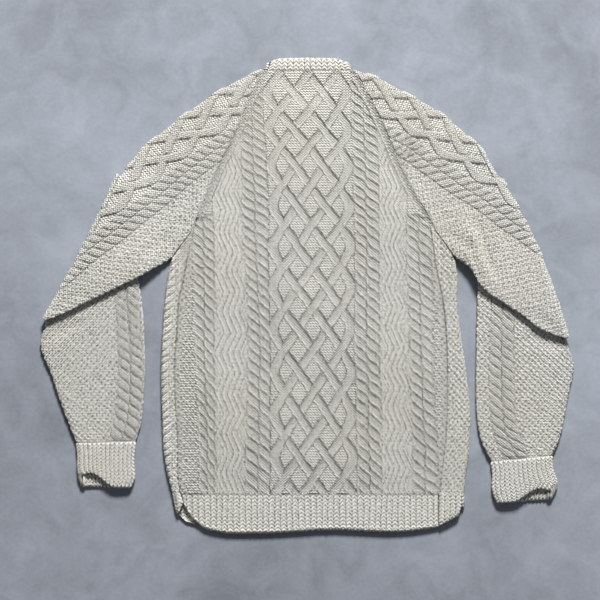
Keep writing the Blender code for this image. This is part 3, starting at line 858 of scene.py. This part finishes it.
def yarn_group():
    """Colour of the yarn, with painted shade in its grooves and between its stitches, random flecks, and
    creamier in patches.
    """
    if "Yarn colour with painted shade" in bpy.data.node_groups:
        return bpy.data.node_groups["Yarn colour with painted shade"]
    inputs = dict.fromkeys(("Wool", "Cream", "Painted shade colour"), "Color")
    inputs.update(dict.fromkeys(("Stitch height", "Painted shade share", "Tone"), "Float"))
    outputs = {"Colour": "Color", "Roughness": "Float", "Fuzz": "Float"}
    w, given, out = new_group("Yarn colour with painted shade", inputs, outputs)
    place = w.node("ShaderNodeTexCoord").outputs["Object"]
    fleck = w.noise(place, 330.0, 3.0)
    warm = w.mix("RGBA", given["Tone"], given["Wool"], given["Cream"])
    # Painted shade: laid on where the stitch height is low, between the stitches, and where the painted shade
    # share is high, dotted by the stitches. Random flecks, the yarn's own tone, are added to it.
    low = w.math("SUBTRACT", 1.0, given["Stitch height"])
    stitch_gap_shade = w.math("MAXIMUM", w.math("SUBTRACT", low, 0.5), 0.0)
    shade_dotting = w.math("ADD", 0.62, w.math("MULTIPLY", low, 0.6))
    shade_and_fleck = w.math("ADD", w.math("MULTIPLY", stitch_gap_shade, 1.35), w.math("MULTIPLY", given["Painted shade share"], shade_dotting))
    shade_and_fleck = w.math("ADD", shade_and_fleck, w.math("MULTIPLY", w.math("SUBTRACT", fleck, 0.52), 1.1))
    shade_and_fleck = w.node("ShaderNodeClamp", {0: shade_and_fleck}).outputs[0]
    made = {
        "Colour": w.mix("RGBA", shade_and_fleck, warm, given["Painted shade colour"]),
        "Roughness": w.math("ADD", 0.84, w.math("MULTIPLY", fleck, 0.14)),
        "Fuzz": w.noise(place, 1400.0, 2.0),
    }
    w.fill(out, made)
    return w.tree


def new_material(name):
    """A material's wiring and its shader."""
    material = bpy.data.materials.new(name)
    material.use_nodes = True
    return material, Wiring(material.node_tree), material.node_tree.nodes["Principled BSDF"]


def knitted_wool(name, depth):
    """Matt wool with single stitches, fuzz and sheen. The depth is that of its stitches."""
    if name in bpy.data.materials:
        return bpy.data.materials[name]
    colours = bpy.context.scene.sweater_colours
    material, w, shader = new_material(name)
    stitch_map = w.node("ShaderNodeUVMap", uv_map="stitch").outputs[0]
    # The mesh attribute carries the painted shade share, the purl share and the tone.
    shade_purl_tone = w.node("ShaderNodeAttribute", attribute_name="shade_purl_tone").outputs["Color"]
    painted_shade, purl, tone = w.node("ShaderNodeSeparateColor", {0: shade_purl_tone}).outputs
    given = {"Stitch map": stitch_map, "Purl": purl}
    height = w.node("ShaderNodeGroup", given, node_tree=stitch_group()).outputs["Height"]
    given = {"Wool": colours.wool, "Cream": colours.cream, "Painted shade colour": colours.painted_shade}
    given.update({"Stitch height": height, "Painted shade share": painted_shade, "Tone": tone})
    yarn = w.node("ShaderNodeGroup", given, node_tree=yarn_group()).outputs
    coarse = w.bump(height, 1.0, depth * MM)
    looks = {
        "Base Color": yarn["Colour"],
        "Roughness": yarn["Roughness"],
        "Sheen Weight": 0.25,
        "Sheen Roughness": 0.5,
        "Specular IOR Level": 0.2,
        "Normal": w.bump(yarn["Fuzz"], 0.6, 0.3 * MM, Normal=coarse),
    }
    w.fill(shader, looks)
    return material


def body_wool():
    return knitted_wool("Wool in cables and moss", 1.7)


def rib_wool():
    return knitted_wool("Wool in ribbing", 1.0)


# ---------------------------------------------------------------- pieces


def knit_piece(sizes, name, material, *grid, **form):
    """A piece made of one grid."""
    cloth = Knitted(sizes)
    cloth.add(*grid, **form)
    return cloth.build(name, material)


def rib_piece(sizes, name, x, y, z, relief, ribs, along, purl_below=0.7, **form):
    """A ribbed piece made of one grid, purl where its ribs are low."""
    purl = np.where(relief > purl_below, 0.0, 1.0)
    stitches = (ribs + 0.5, along / RIB_ROW)
    return knit_piece(sizes, name, rib_wool(), x, y, z, relief, purl, stitches, **form)


def knit_back(sizes):
    """The back panel: rows from the neck to the welt, columns from edge to edge."""
    rows = int((NECK_TOP - HEM_TOP) / sizes.mesh)
    columns = int(BACK_WIDTH / sizes.mesh)
    y = np.linspace(NECK_TOP, HEM_TOP, rows)[:, None] * np.ones((1, columns))
    left, _ = edge_of(y, LEFT)
    right, _ = edge_of(y, RIGHT)
    share = np.linspace(0.0, 1.0, columns)[None, :]
    x = left - TUCK + (right - left + 2.0 * TUCK) * share
    from_seam = np.maximum(np.minimum(x - left, right - x), 0.0)
    puff = SEAM_PUFF + (BODY_PUFF - SEAM_PUFF) * smooth(from_seam / SEAM_EASE)
    at_hem = smooth((HEM_TOP + HEM_REACH - y) / HEM_REACH)
    puff += (HEM_PUFF - puff) * at_hem * smooth(from_seam / SEAM_EASE)
    z = 2.0 * WALL + puff - NECK_SAG * neck_sag(x, y)
    at_raglan = smooth((y - UNDERARM_Y + 8.0) / 16.0)
    z += 1.5 * at_raglan * smooth((26.0 - from_seam) / 26.0)
    z -= rim(from_seam, 3.4 - 3.0 * at_raglan, 2.6)
    z -= creased("back", x, y)
    z += (1.0 - at_hem) * wander(x, y, 130.0, 51) * smooth(from_seam / 30.0)
    z -= rim(y - HEM_TOP, 0.7, 2.0) + rim(NECK_TOP - y, 0.5, 2.6)
    relief, purl = body_relief(x, y, sizes)
    seam = CHAIN_HEIGHT * chain(from_seam - SEAM, y, CHAIN_WIDTH) * (from_seam < CHAIN_WIDTH + 0.2)
    beside_seam = (from_seam < CHAIN_WIDTH + 4.0) & (y > UNDERARM_Y)
    faded = relief * smooth((from_seam - CHAIN_WIDTH) / 4.0)
    relief = np.where(beside_seam, np.maximum(seam, faded), relief)
    purl = np.where(from_seam < CHAIN_WIDTH, 0.0, purl)
    relief *= 1.0 - 0.6 * smooth((y - NECK_TOP + 6.0) / 6.0)
    relief *= 1.0 - 0.4 * smooth((HEM_TOP + 5.0 - y) / 5.0)
    stitches = (x / sizes.stitch, y / sizes.row)
    made = knit_piece(sizes, "back_panel", body_wool(), x, y, z, relief, purl, stitches)
    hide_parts("back")


def wrapped(sizes, strips):
    """The front's columns: kind, share or angle, side. The strips say how wide each one is."""
    counts = [max(3, int(width / sizes.mesh)) for width in strips]
    fold = np.linspace(0.0, math.pi, int(math.pi * EDGE_RADIUS / sizes.mesh) + 3)[1:-1]
    floor = int(FLOOR_WIDTH / (1.4 * sizes.mesh))
    plan = [("strip", share, LEFT) for share in np.linspace(0.0, 1.0, counts[0])]
    plan += [("fold", angle, LEFT) for angle in fold]
    plan += [("floor", share, 0) for share in np.linspace(0.0, 1.0, floor)]
    plan += [("fold", angle, RIGHT) for angle in fold[::-1]]
    plan += [("strip", share, RIGHT) for share in np.linspace(1.0, 0.0, counts[1])]
    return plan


def fold_point(angle, side):
    """How far across and how high a point of a side fold is."""
    return side * (EDGE_RADIUS * math.sin(angle) - EDGE_RADIUS), EDGE_RADIUS + EDGE_RADIUS * math.cos(angle)


def front_neck_right():
    """The right half of the front's neck line, from its foot upwards."""
    middle, _ = NECK_MIDDLE
    left = reversed(FRONT_NECK[:-1])
    return [(2.0 * middle - x + CORNER_OUT * (x < NECK_CORNER), y) for x, y in left]


def front_rims():
    """Upper ends of the front's columns: its raglan edges and neck line, over the floor."""
    left, right = (
        [*reversed(UNDERARM[side]), *((row[RAGLAN_COLUMN[side]], row[0]) for row in reversed(RAGLAN[2:]))]
        for side in (LEFT, RIGHT)
    )
    return [*left, *FRONT_NECK, *front_neck_right(), *reversed(right)]


def knit_front(sizes):
    """The front panel: a strip at each side on top, the folds, and the layer on the floor."""
    plan = wrapped(sizes, (32.0, 38.0))
    rims = front_rims()
    rim_run = lengths(rims)
    rows = int(FRONT_HEIGHT / sizes.mesh)
    run = np.linspace(0.0, 1.0, rows)
    foot = HEM_TOP + SEAM
    x, y, z, over = np.zeros((4, rows, len(plan)))
    for j, (kind, share, side) in enumerate(plan):
        if kind == "floor":
            top = points_at(rims, rim_run, share * rim_run[-1])
        elif kind == "fold":
            top = (UNDERARM[side][-1][0], UNDERARM[side][-1][1] - 3.0)
        else:
            reach = lengths(armhole(side))
            top = points_at(armhole(side), reach, share * reach[-1])
        ys = foot + (top[1] - SEAM - foot) * run
        low = np.minimum(ys, STRIP_TURN)
        rise = np.clip((ys - STRIP_TURN) / (top[1] - SEAM - STRIP_TURN), 0.0, 1.0)
        y[:, j] = ys
        if kind == "floor":
            left = edge_of(low, LEFT)[1] + EDGE_RADIUS
            right = edge_of(low, RIGHT)[1] - EDGE_RADIUS
            flat = left + (right - left) * share
            x[:, j] = flat + (top[0] - flat) * rise
            over[:, j] = -1.0
        elif kind == "strip":
            seam, edge = edge_of(low, side)
            start = seam + side * SEAM
            flat = start + (edge - side * EDGE_RADIUS - start) * share
            x[:, j] = flat + (top[0] - flat) * rise
            x[:, j] = np.where(share == 0.0, edge_of(ys, side)[0] + side * SEAM, x[:, j])
            z[:, j] = EDGE_HEIGHT
            over[:, j] = np.abs(x[:, j] - start)
        else:
            seam, edge = edge_of(ys, side)
            across, z[:, j] = fold_point(share, side)
            x[:, j] = edge + across
            over[:, j] = np.abs(edge - side * EDGE_RADIUS - seam) + EDGE_RADIUS * share
    on_top = over >= 0.0
    z -= np.where(on_top, rim(over, 3.0, 3.0), 0.0)
    relief, purl = body_relief(x, y, sizes)
    inner, outer = SIDE_ROPE
    share = np.clip((over - inner) / (outer - inner), 0.0, 1.0)
    side_rope = sizes.rope * rope(share, y + 1.5 * wander(x, y, 30.0, 81), SIDE_ROPE_TURN)
    relief = np.where(on_top, sizes.moss * moss(over, y, sizes.moss_pitch), relief)
    relief = np.where((x < 0.0) & (over > inner) & (over < outer), side_rope, relief)
    purl = np.where(on_top, 0.6, purl)
    stitches = (x / sizes.stitch + over / 40.0, y / sizes.row)
    made = knit_piece(sizes, "front_panel", body_wool(), x, y, z, relief, purl, stitches, flip=True)
    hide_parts("front")


def flattened(width, step):
    """Shares across a flattened tube and how high its rounded section is there, 0 to 1."""
    turn = np.linspace(0.0, math.pi, 6000)
    across = 0.5 - 0.5 * np.sign(np.cos(turn)) * np.abs(np.cos(turn)) ** TUBE_ROUND
    high = np.abs(np.sin(turn)) ** TUBE_ROUND
    run = lengths(np.stack([across * width, high * TUBE_HEIGHT / 2.0], axis=-1))
    at = np.linspace(0.0, run[-1], int(run[-1] / step))
    return np.interp(at, run, across), np.interp(at, run, high)


def section(width, fine, coarse):
    """One round of a flattened tube: shares, heights from -1 to 1, fine on top."""
    top, high = flattened(width, fine)
    low, deep = flattened(width, coarse)
    return np.concatenate([top, low[-2:0:-1]]), np.concatenate([high, -deep[-2:0:-1]])


def tube_rows(ends, step):
    """Both edges of a tube at even steps: a table of x, y, x, y, read smoothly."""
    ends = np.asarray(ends, float)
    keys = np.arange(len(ends), dtype=float)
    fine = np.linspace(0.0, keys[-1], 2000)
    both = np.stack([curve(keys, ends[:, k], fine) for k in range(4)], axis=-1)
    one, other = lengths(both[:, :2]), lengths(both[:, 2:])
    run = 0.5 * (one + other)
    at = np.linspace(0.0, run[-1], int(max(one[-1], other[-1]) / step))
    where = np.interp(at, run, fine)
    return np.stack(points_at(both, fine, where), axis=-1), where


def knit_sleeve(sizes, side):
    """An upper arm turned under at the elbow, and the forearm below it."""
    hand = "left" if side == LEFT else "right"
    elbow = ELBOW[side]
    line = line_through(SLEEVE_LINE[side], np.linspace(0.0, 1.0, 60))
    arm = [(row[RAGLAN_COLUMN[side]] + side * SEAM, row[0]) for row in RAGLAN]
    arm += [(x + side * SEAM, y) for x, y in UNDERARM[side]]
    arm = np.asarray(arm)
    arm_share = lengths(arm) / lengths(arm)[-1]
    stray = arm - (arm[:1] + (arm[-1:] - arm[:1]) * arm_share[:, None])
    inner = np.asarray([elbow[:2], *[row[:2] for row in FOREARM[side]]])
    a = np.asarray(elbow[:2])
    b = np.asarray(elbow[2:4])
    out = np.asarray([side * (a[1] - b[1]), side * (b[0] - a[0])]) / math.dist(a, b)

    def lift(x, y):
        beyond = side * (x - np.interp(y, inner[::-1, 1], inner[::-1, 0]))
        return (TUBE_HEIGHT + FOLD_GAP) * smooth((beyond + LIFT_RAMP) / LIFT_RAMP)

    def bowed(share, high):
        """How far the elbow fold bows out across the tube."""
        return elbow[4] * np.sin(math.pi * share) - TUBE_HEIGHT / 2.0 * (1.0 + np.abs(high))

    def spread(ends, share, bow):
        """Points across a tube's rows, bowed out near the fold."""
        starts, stops = ends[:, :2, None], ends[:, 2:, None]
        return [starts[:, k] + (stops[:, k] - starts[:, k]) * share + bow * out[k] for k in (0, 1)]

    # Upper arm, then half a turn round the elbow fold.
    cloth = Knitted(sizes)
    share, high = section(ARM_WIDTH, sizes.mesh, 2.6 * sizes.mesh)
    bow = bowed(share, high)
    ends, where = tube_rows([[*arm[0], *arm[-1]], *UPPER[side], elbow[:4]], sizes.mesh)
    last = len(UPPER[side]) + 1.0
    x, y = spread(ends, share, smooth((where - last + 1.6) / 1.6)[:, None] * bow)
    fade = 0.5 * (1.0 - np.clip(where / last, 0.0, 1.0)) ** 2
    fade = (fade + 0.5 * np.clip(1.0 - where, 0.0, 1.0) ** 2)[:, None]
    x += fade * curve(arm_share, stray[:, 0], share)
    y += fade * curve(arm_share, stray[:, 1], share)
    z = lift(x, y) + TUBE_HEIGHT / 2.0 * (1.0 + high)
    reach = FOLD_GAP / 2.0 + TUBE_HEIGHT / 2.0 * (1.0 + high)
    angles = np.linspace(0.0, math.pi, 20)[1:, None]
    over = bow + reach * np.sin(angles)
    x = np.concatenate([x, a[0] + (b[0] - a[0]) * share + out[0] * over])
    y = np.concatenate([y, a[1] + (b[1] - a[1]) * share + out[1] * over])
    z = np.concatenate([z, TUBE_HEIGHT + FOLD_GAP / 2.0 + reach * np.cos(angles)])
    relief, purl, along, away = sleeve_relief(line, *SLEEVE_TURNS[side], x, y, sizes)
    top = high >= 0.0
    z -= np.where(top, creased("sleeve_" + hand, x, y), 0.0)
    from_seam = (where * lengths(line)[-1] / last)[:, None] * 0.5
    z[: len(where)] -= np.where(top, rim(from_seam, 0.8, 3.0), 0.0)
    relief[: len(where)] *= smooth(from_seam / 5.0)
    stitches = (away / sizes.stitch, along / sizes.row)
    cloth.add(x, y, z, relief, purl, stitches, ring=True, flip=side == LEFT)

    # Forearm, from inside the fold to the wrist.
    share, high = section(FOREARM_WIDTH, sizes.mesh, 2.2 * sizes.mesh)
    ends, where = tube_rows([elbow[:4], *FOREARM[side]], sizes.mesh)
    x, y = spread(ends, share, smooth(1.0 - where / 1.2)[:, None] * bowed(share, high))
    z = TUBE_HEIGHT / 2.0 * (1.0 + high) * np.ones(x.shape)
    z -= np.where(high >= 0.0, creased("forearm_" + hand, x, y), 0.0)
    wx = x + 1.2 * wander(x, y, 80.0, 23)
    wy = y + 1.2 * wander(x, y, 80.0, 25)
    _, away = beside(inner, wx, wy)
    relief = sizes.moss * moss(wx + 0.12 * wy, wy - 0.12 * wx, sizes.moss_pitch)
    purl = np.full(x.shape, 0.6)
    for k in (0, 1):
        across = (away - FOREARM_ROPES[side] - ROPE_WIDTH * k) / ROPE_WIDTH
        inside = (across > 0.0) & (across < 1.0)
        if side == LEFT:
            across = 1.0 - across
        relief = np.where(inside, sizes.rope * rope(across, wy + 4.0 * k, sizes.rope_turn), relief)
        purl = np.where(inside, 0.0, purl)
    relief *= 1.0 - 0.8 * smooth((where - where[-1] + 0.25) / 0.25)[:, None]
    stitches = (x / sizes.stitch, y / sizes.row)
    cloth.add(x, y, z, relief, purl, stitches, ring=True, flip=side == RIGHT)
    made = cloth.build("sleeve_" + hand + "_knit", body_wool())
    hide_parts("sleeve_" + hand)


def knit_cuff(sizes, side):
    """A ribbed cuff whose top layer is drawn back, with its wall turned in at the mouth."""
    name = "cuff_left" if side == LEFT else "cuff_right"
    drawn_at, drawn_back = MOUTH[side]
    step = 0.8 * sizes.mesh
    share, high = section(CUFF_WIDTH, step, 1.2 * sizes.mesh)
    ends, where = tube_rows(CUFF[side], step)
    run = where / where[-1]
    path = [(-0.015, 0.5 * TUCK), *((r, 0.0) for r in run)]
    path += [(1.0 + 0.03 * math.sin(math.pi * t), WALL * t) for t in np.linspace(0.0, 1.0, 5)[1:]]
    path += [(r, WALL) for r in np.linspace(1.0, 1.0 - CUFF_INSIDE / CUFF_HEIGHT, 16)[1:]]
    rows = []
    for r, inset in path:
        edge = points_at(ends, run, r)
        margin = 1.3 * inset / math.dist(edge[:2], edge[2:])
        across = margin + (1.0 - 2.0 * margin) * share
        height = TUBE_HEIGHT + (CUFF_MOUTH - TUBE_HEIGHT) * r
        x = edge[0] + (edge[2] - edge[0]) * across
        y = edge[1] + (edge[3] - edge[1]) * across - CUFF_HEIGHT * (max(0.0, r - 1.0) + min(0.0, r))
        drawn = np.clip(1.0 - ((across - drawn_at) / 0.5) ** 2, 0.0, 1.0) ** 2
        y = y + drawn_back * drawn * r * r * (high >= 0.0) * smooth(np.abs(high) * 2.0)
        rows.append(np.stack([x, y, height / 2.0 + (height / 2.0 - inset) * high]))
    ribs = (share * CUFF_WIDTH / CUFF_RIB)[None, :] * np.ones((len(rows), 1))
    along = np.arange(len(rows))[:, None] * step * np.ones((1, len(share)))
    relief = sizes.rib * ribbing(ribs, along) * (0.6 + 0.4 * smooth(along / 4.0))
    x, y, z = np.stack(rows, axis=1)
    form = {"ring": True, "flip": side == RIGHT}
    made = rib_piece(sizes, name + "_rib", x, y, z, relief, ribs, along, purl_below=0.6, **form)
    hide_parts(name)


def rolled(sizes, ribs, x, y, from_foot, width, height):
    """A welt's ribs, which end in a rolled edge of the given width and height."""
    relief = sizes.rib * ribbing(ribs, y) * smooth((from_foot - 3.0) / 4.0)
    roll = rope(np.clip(from_foot / width, 0.0, 1.0), x, ROLL_TURN)
    return np.where(from_foot < width, np.maximum(relief, height * roll), relief)


def knit_back_welt(sizes):
    """The back welt, with a rolled lower edge."""
    columns = int(WELT_WIDTH / (0.85 * sizes.mesh))
    rows = int(WELT_HEIGHT / (0.85 * sizes.mesh))
    edge = np.asarray(HEM_EDGE_BACK)
    share = np.linspace(0.0, 1.0, columns)[None, :]
    run = np.linspace(0.0, 1.0, rows)[:, None]
    foot_x = edge[0, 0] + (edge[-1, 0] - SEAM - edge[0, 0]) * share
    foot_y = curve(edge[:, 0], edge[:, 1], foot_x)
    head_x = BODY[-1][2] + SEAM + (BODY[-1][3] - BODY[-1][2] - 2.0 * SEAM) * share
    x = head_x + (foot_x - head_x) * run
    y = HEM_TOP - SEAM + (foot_y - HEM_TOP + SEAM) * run
    from_side = np.minimum(x - x[:, :1], x[:, -1:] - x)
    puff = SEAM_PUFF + 0.7 * smooth(from_side / SEAM_EASE)
    from_foot = (1.0 - run) * (HEM_TOP - foot_y)
    z = 2.0 * WALL + puff - rim(from_side, 4.2, 3.6) - rim(from_foot, 5.6, 3.4)
    y[0] += TUCK
    z[0] -= 0.4 * TUCK
    ribs = (x + 0.9 * wander(x, y, 60.0, 61)) / sizes.rib_pitch
    relief = rolled(sizes, ribs, x, y, from_foot, 6.5, 1.7)
    relief = relief * (0.6 + 0.4 * smooth(run * WELT_HEIGHT / 3.0))
    made = rib_piece(sizes, "back_welt", x, y, z, relief, ribs, y)
    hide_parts("hem_back")


def knit_front_welt(sizes):
    """The front welt, in the same wrapped form as the front panel."""
    plan = wrapped(sizes, (24.0, 38.0))
    rows = int(FRONT_WELT_HEIGHT / sizes.mesh)
    run = np.linspace(0.0, 1.0, rows)
    x, y, z, over = np.zeros((4, rows, len(plan)))
    floor = np.asarray(HEM_FLOOR)
    seams = {side: [float(value) for value in edge_of(np.asarray(HEM_TOP), side)] for side in (LEFT, RIGHT)}
    start, stop = seams[LEFT][1] + EDGE_RADIUS, seams[RIGHT][1] - EDGE_RADIUS
    for j, (kind, share, side) in enumerate(plan):
        seam, edge = seams[side or RIGHT]
        if kind == "floor":
            head = start + (stop - start) * share
            foot_x = floor[0, 0] + (floor[-1, 0] - floor[0, 0]) * share
            foot = (foot_x, float(np.interp(foot_x, floor[:, 0], floor[:, 1])))
            over[:, j] = -1.0
        elif kind == "strip":
            inner = seam + side * SEAM
            head = inner + (edge - side * EDGE_RADIUS - inner) * share
            foot = points_at(HEM_STRIP[side], (0.0, 1.0, 2.0), share * 2.0)
            foot[0] -= side * 2.0 * TUCK * (1.0 - share)
            z[:, j] = EDGE_HEIGHT
            over[:, j] = np.abs(head - inner)
        else:
            across, z[:, j] = fold_point(share, side)
            head = edge + across
            foot = (HEM_FOLD[side][0] + across, HEM_FOLD[side][1] + 0.5 * EDGE_RADIUS * math.cos(share))
            over[:, j] = abs(edge - seam) - EDGE_RADIUS + EDGE_RADIUS * share
        x[:, j] = head + (foot[0] - head) * run
        y[:, j] = HEM_TOP - SEAM + (foot[1] - HEM_TOP + SEAM) * run
    on_top = over >= 0.0
    from_foot = (1.0 - run)[:, None] * (HEM_TOP - y[-1:, :])
    y[0] += TUCK
    z -= np.where(on_top, rim(over, 4.4, 4.0), 0.0)
    z += 0.85 * (EDGE_RADIUS - z) * rim(from_foot, 1.0, 3.6)
    count = np.where(on_top, over + 5.0, x)
    ribs = (count + 0.8 * wander(x, y, 60.0, 63)) / sizes.rib_pitch
    relief = rolled(sizes, ribs, x, y, from_foot, 6.0, 1.5)
    made = rib_piece(sizes, "front_welt", x, y, z, relief, ribs, y)
    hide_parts("hem_front")


def knit_neckband(sizes):
    """The neckband: a flattened ring, ribbed, with a wall all round its section."""
    right = [(66.0, 329.0), (81.0, 316.5)]
    right += [(x - 0.6, y + SEAM) for x, y in reversed(front_neck_right())]
    left = [(x + 0.6, y + SEAM) for x, y in reversed(FRONT_NECK[:-1])]
    left += [(-75.0, 316.5), (-64.0, 329.0)]
    stations = [(*row, 90.0) for row in NECKBAND_BACK]
    stations.append((*NECKBAND_FOLD[RIGHT], 0.0))
    for x, y in (*right, (FRONT_NECK[-1][0], FRONT_NECK[-1][1] + SEAM), *left):
        free = [m + (p - m) * NECKBAND_EASE for m, p in zip(NECK_MIDDLE, (x, y))]
        stations.append((x, y, *free, WALL / 2.0, -90.0))
    stations.append((*NECKBAND_FOLD[LEFT], -180.0))
    table = np.asarray([*stations, (*stations[0][:5], -270.0)])
    run = lengths(0.5 * (table[:, :2] + table[:, 2:4]))
    at = np.linspace(0.0, run[-1], int(run[-1] / (0.75 * sizes.mesh)) + 1)[:-1]
    seam_x, seam_y, free_x, free_y, middle, facing = (row[:, None] for row in points_at(table, run, at))
    facing = np.radians(facing)
    turn = np.linspace(0.0, 2.0 * math.pi, 45)[:-1][None, :]
    across = 0.5 - 0.5 * np.sign(np.cos(turn)) * np.abs(np.cos(turn)) ** 0.45
    thick = np.sign(np.sin(turn)) * np.abs(np.sin(turn)) ** 0.45 * WALL / 2.0
    x = seam_x + (free_x - seam_x) * across + thick * np.cos(facing)
    y = seam_y + (free_y - seam_y) * across
    z = middle + thick * np.sin(facing)
    ribs = np.where(facing > 0.0, 0.5 * (seam_x + free_x), at[:, None]) / NECKBAND_RIB
    ribs, up = np.broadcast_arrays(ribs, NECKBAND_HEIGHT * across)
    relief = sizes.rib * ribbing(ribs, up)
    relief = relief * (0.45 + 0.55 * smooth((1.0 - across) / 0.1)) * (0.5 + 0.5 * smooth(across / 0.3))
    made = rib_piece(sizes, "neckband_rib", x, y, z, relief, ribs, up, ring=True, flip=True)
    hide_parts("neckband")


# ---------------------------------------------------------------- the stage


def floor_material(colour):
    """Smooth pale concrete with faint clouds and pores."""
    material, w, shader = new_material("Pale floor")
    place = w.node("ShaderNodeTexCoord").outputs["Object"]
    clouds = w.noise(place, 3.2, 7.0, Roughness=0.6)
    grain = w.noise(place, 160.0, 4.0)
    blots = w.noise(place, 17.0, 5.0, Distortion=1.2)
    total = w.math("ADD", w.math("MULTIPLY", clouds, 0.6), w.math("MULTIPLY", grain, 0.12))
    total = w.math("ADD", total, w.math("MULTIPLY", blots, 0.28))
    ramp = w.node("ShaderNodeValToRGB", {0: total})
    for stop, position, bright in zip(ramp.color_ramp.elements, (0.36, 0.64), (0.74, 1.26)):
        stop.position = position
        stop.color = [bright * c for c in colour[:3]] + [1.0]
    looks = {
        "Base Color": ramp.outputs[0],
        "Roughness": 0.95,
        "Specular IOR Level": 0.1,
        "Normal": w.bump(grain, 0.25, 0.5 * MM),
    }
    w.fill(shader, looks)
    return material


def light(name, place, aim, power, size, colour):
    """A square area light that looks at a point."""
    lamp = bpy.data.lights.new(name, "AREA")
    lamp.energy = power
    lamp.size = size
    lamp.color = colour
    made = bpy.data.objects.new(name, lamp)
    made.location = place
    way = mathutils.Vector(aim) - mathutils.Vector(place)
    made.rotation_euler = way.to_track_quat("-Z", "Y").to_euler()
    bpy.context.scene.collection.objects.link(made)


def set_stage(sizes):
    """A pale floor, a soft high light from beyond the neck, and a camera straight above."""
    low, high = CAD_BOX
    middle = ((low[0] + high[0]) / 2.0 - 0.011, (low[1] + high[1]) / 2.0 - 0.007)
    mesh = bpy.data.meshes.new("floor")
    reach = 4.0
    corners = ((-reach, -reach), (reach, -reach), (reach, reach), (-reach, reach))
    mesh.from_pydata([(x, y, GROUND - 0.0002) for x, y in corners], [], [(0, 1, 2, 3)])
    mesh.materials.append(floor_material(sizes.floor))
    floor = bpy.data.objects.new("floor", mesh)
    bpy.context.scene.collection.objects.link(floor)
    light("key", (0.45, 3.5, 2.6), (0.0, 0.0, 0.0), sizes.key, 0.9, (1.0, 0.99, 0.965))
    world = bpy.data.worlds.new("soft light")
    bpy.context.scene.world = world
    world.use_nodes = True
    background = world.node_tree.nodes["Background"]
    background.inputs["Color"].default_value = (0.90, 0.95, 1.0, 1.0)
    background.inputs["Strength"].default_value = sizes.fill
    camera = bpy.data.cameras.new("camera")
    camera.lens = camera.sensor_width * sizes.distance / sizes.span
    camera.clip_end = 20.0
    made = bpy.data.objects.new("camera", camera)
    made.location = (middle[0], middle[1], sizes.distance)
    bpy.context.scene.collection.objects.link(made)
    bpy.context.scene.camera = made
    bpy.context.scene.view_settings.view_transform = "Standard"


# ---------------------------------------------------------------- operators


class KnitBack(bpy.types.Operator):
    """Knit the back panel with its lattice, ropes and zigzags"""

    bl_idname = "knitwear.back"
    bl_label = "Back panel"

    def execute(self, context):
        knit_back(context.scene.sweater_knit)
        return {"FINISHED"}


class KnitFront(bpy.types.Operator):
    """Knit the front panel, which wraps round both sides"""

    bl_idname = "knitwear.front"
    bl_label = "Front panel"

    def execute(self, context):
        knit_front(context.scene.sweater_knit)
        return {"FINISHED"}


class KnitSleeves(bpy.types.Operator):
    """Knit both sleeves, turned under at the elbow"""

    bl_idname = "knitwear.sleeves"
    bl_label = "Sleeves"

    def execute(self, context):
        for side in (-1, 1):
            knit_sleeve(context.scene.sweater_knit, side)
        return {"FINISHED"}


class KnitCuffs(bpy.types.Operator):
    """Knit both ribbed cuffs with their open mouths"""

    bl_idname = "knitwear.cuffs"
    bl_label = "Cuffs"

    def execute(self, context):
        for side in (-1, 1):
            knit_cuff(context.scene.sweater_knit, side)
        return {"FINISHED"}


class KnitWelts(bpy.types.Operator):
    """Knit the ribbed welts of the back and the front"""

    bl_idname = "knitwear.welts"
    bl_label = "Welts"

    def execute(self, context):
        knit_back_welt(context.scene.sweater_knit)
        knit_front_welt(context.scene.sweater_knit)
        return {"FINISHED"}


class KnitNeckband(bpy.types.Operator):
    """Knit the ribbed band round the neck"""

    bl_idname = "knitwear.neckband"
    bl_label = "Neckband"

    def execute(self, context):
        knit_neckband(context.scene.sweater_knit)
        return {"FINISHED"}


class SetStage(bpy.types.Operator):
    """Lay the floor and set up the light and the camera"""

    bl_idname = "knitwear.stage"
    bl_label = "Stage"

    def execute(self, context):
        set_stage(context.scene.sweater_stage)
        return {"FINISHED"}


class KnitwearPanel(bpy.types.Panel):
    """Buttons and sizes of the sweater"""

    bl_idname = "VIEW3D_PT_knitwear"
    bl_label = "Cable Knit Sweater"
    bl_space_type = "VIEW_3D"
    bl_region_type = "UI"
    bl_category = "Knitwear"

    def draw(self, context):
        for operator in OPERATORS:
            self.layout.operator(operator.bl_idname)
        for group in (context.scene.sweater_knit, context.scene.sweater_colours, context.scene.sweater_stage):
            box = self.layout.box()
            for name in group.__annotations__:
                box.prop(group, name)


OPERATORS = (KnitBack, KnitFront, KnitSleeves, KnitCuffs, KnitWelts, KnitNeckband, SetStage)
CLASSES = (KnitSizes, WoolColours, StageSizes, *OPERATORS, KnitwearPanel)


def register():
    for made in CLASSES:
        bpy.utils.register_class(made)
    bpy.types.Scene.sweater_knit = PointerProperty(type=KnitSizes)
    bpy.types.Scene.sweater_colours = PointerProperty(type=WoolColours)
    bpy.types.Scene.sweater_stage = PointerProperty(type=StageSizes)


def unregister():
    del bpy.types.Scene.sweater_stage
    del bpy.types.Scene.sweater_colours
    del bpy.types.Scene.sweater_knit
    for made in reversed(CLASSES):
        bpy.utils.unregister_class(made)


def main():
    register()
    bpy.ops.knitwear.back()
    bpy.ops.knitwear.front()
    bpy.ops.knitwear.sleeves()
    bpy.ops.knitwear.cuffs()
    bpy.ops.knitwear.welts()
    bpy.ops.knitwear.neckband()
    bpy.ops.knitwear.stage()


if __name__ == "__main__":
    main()
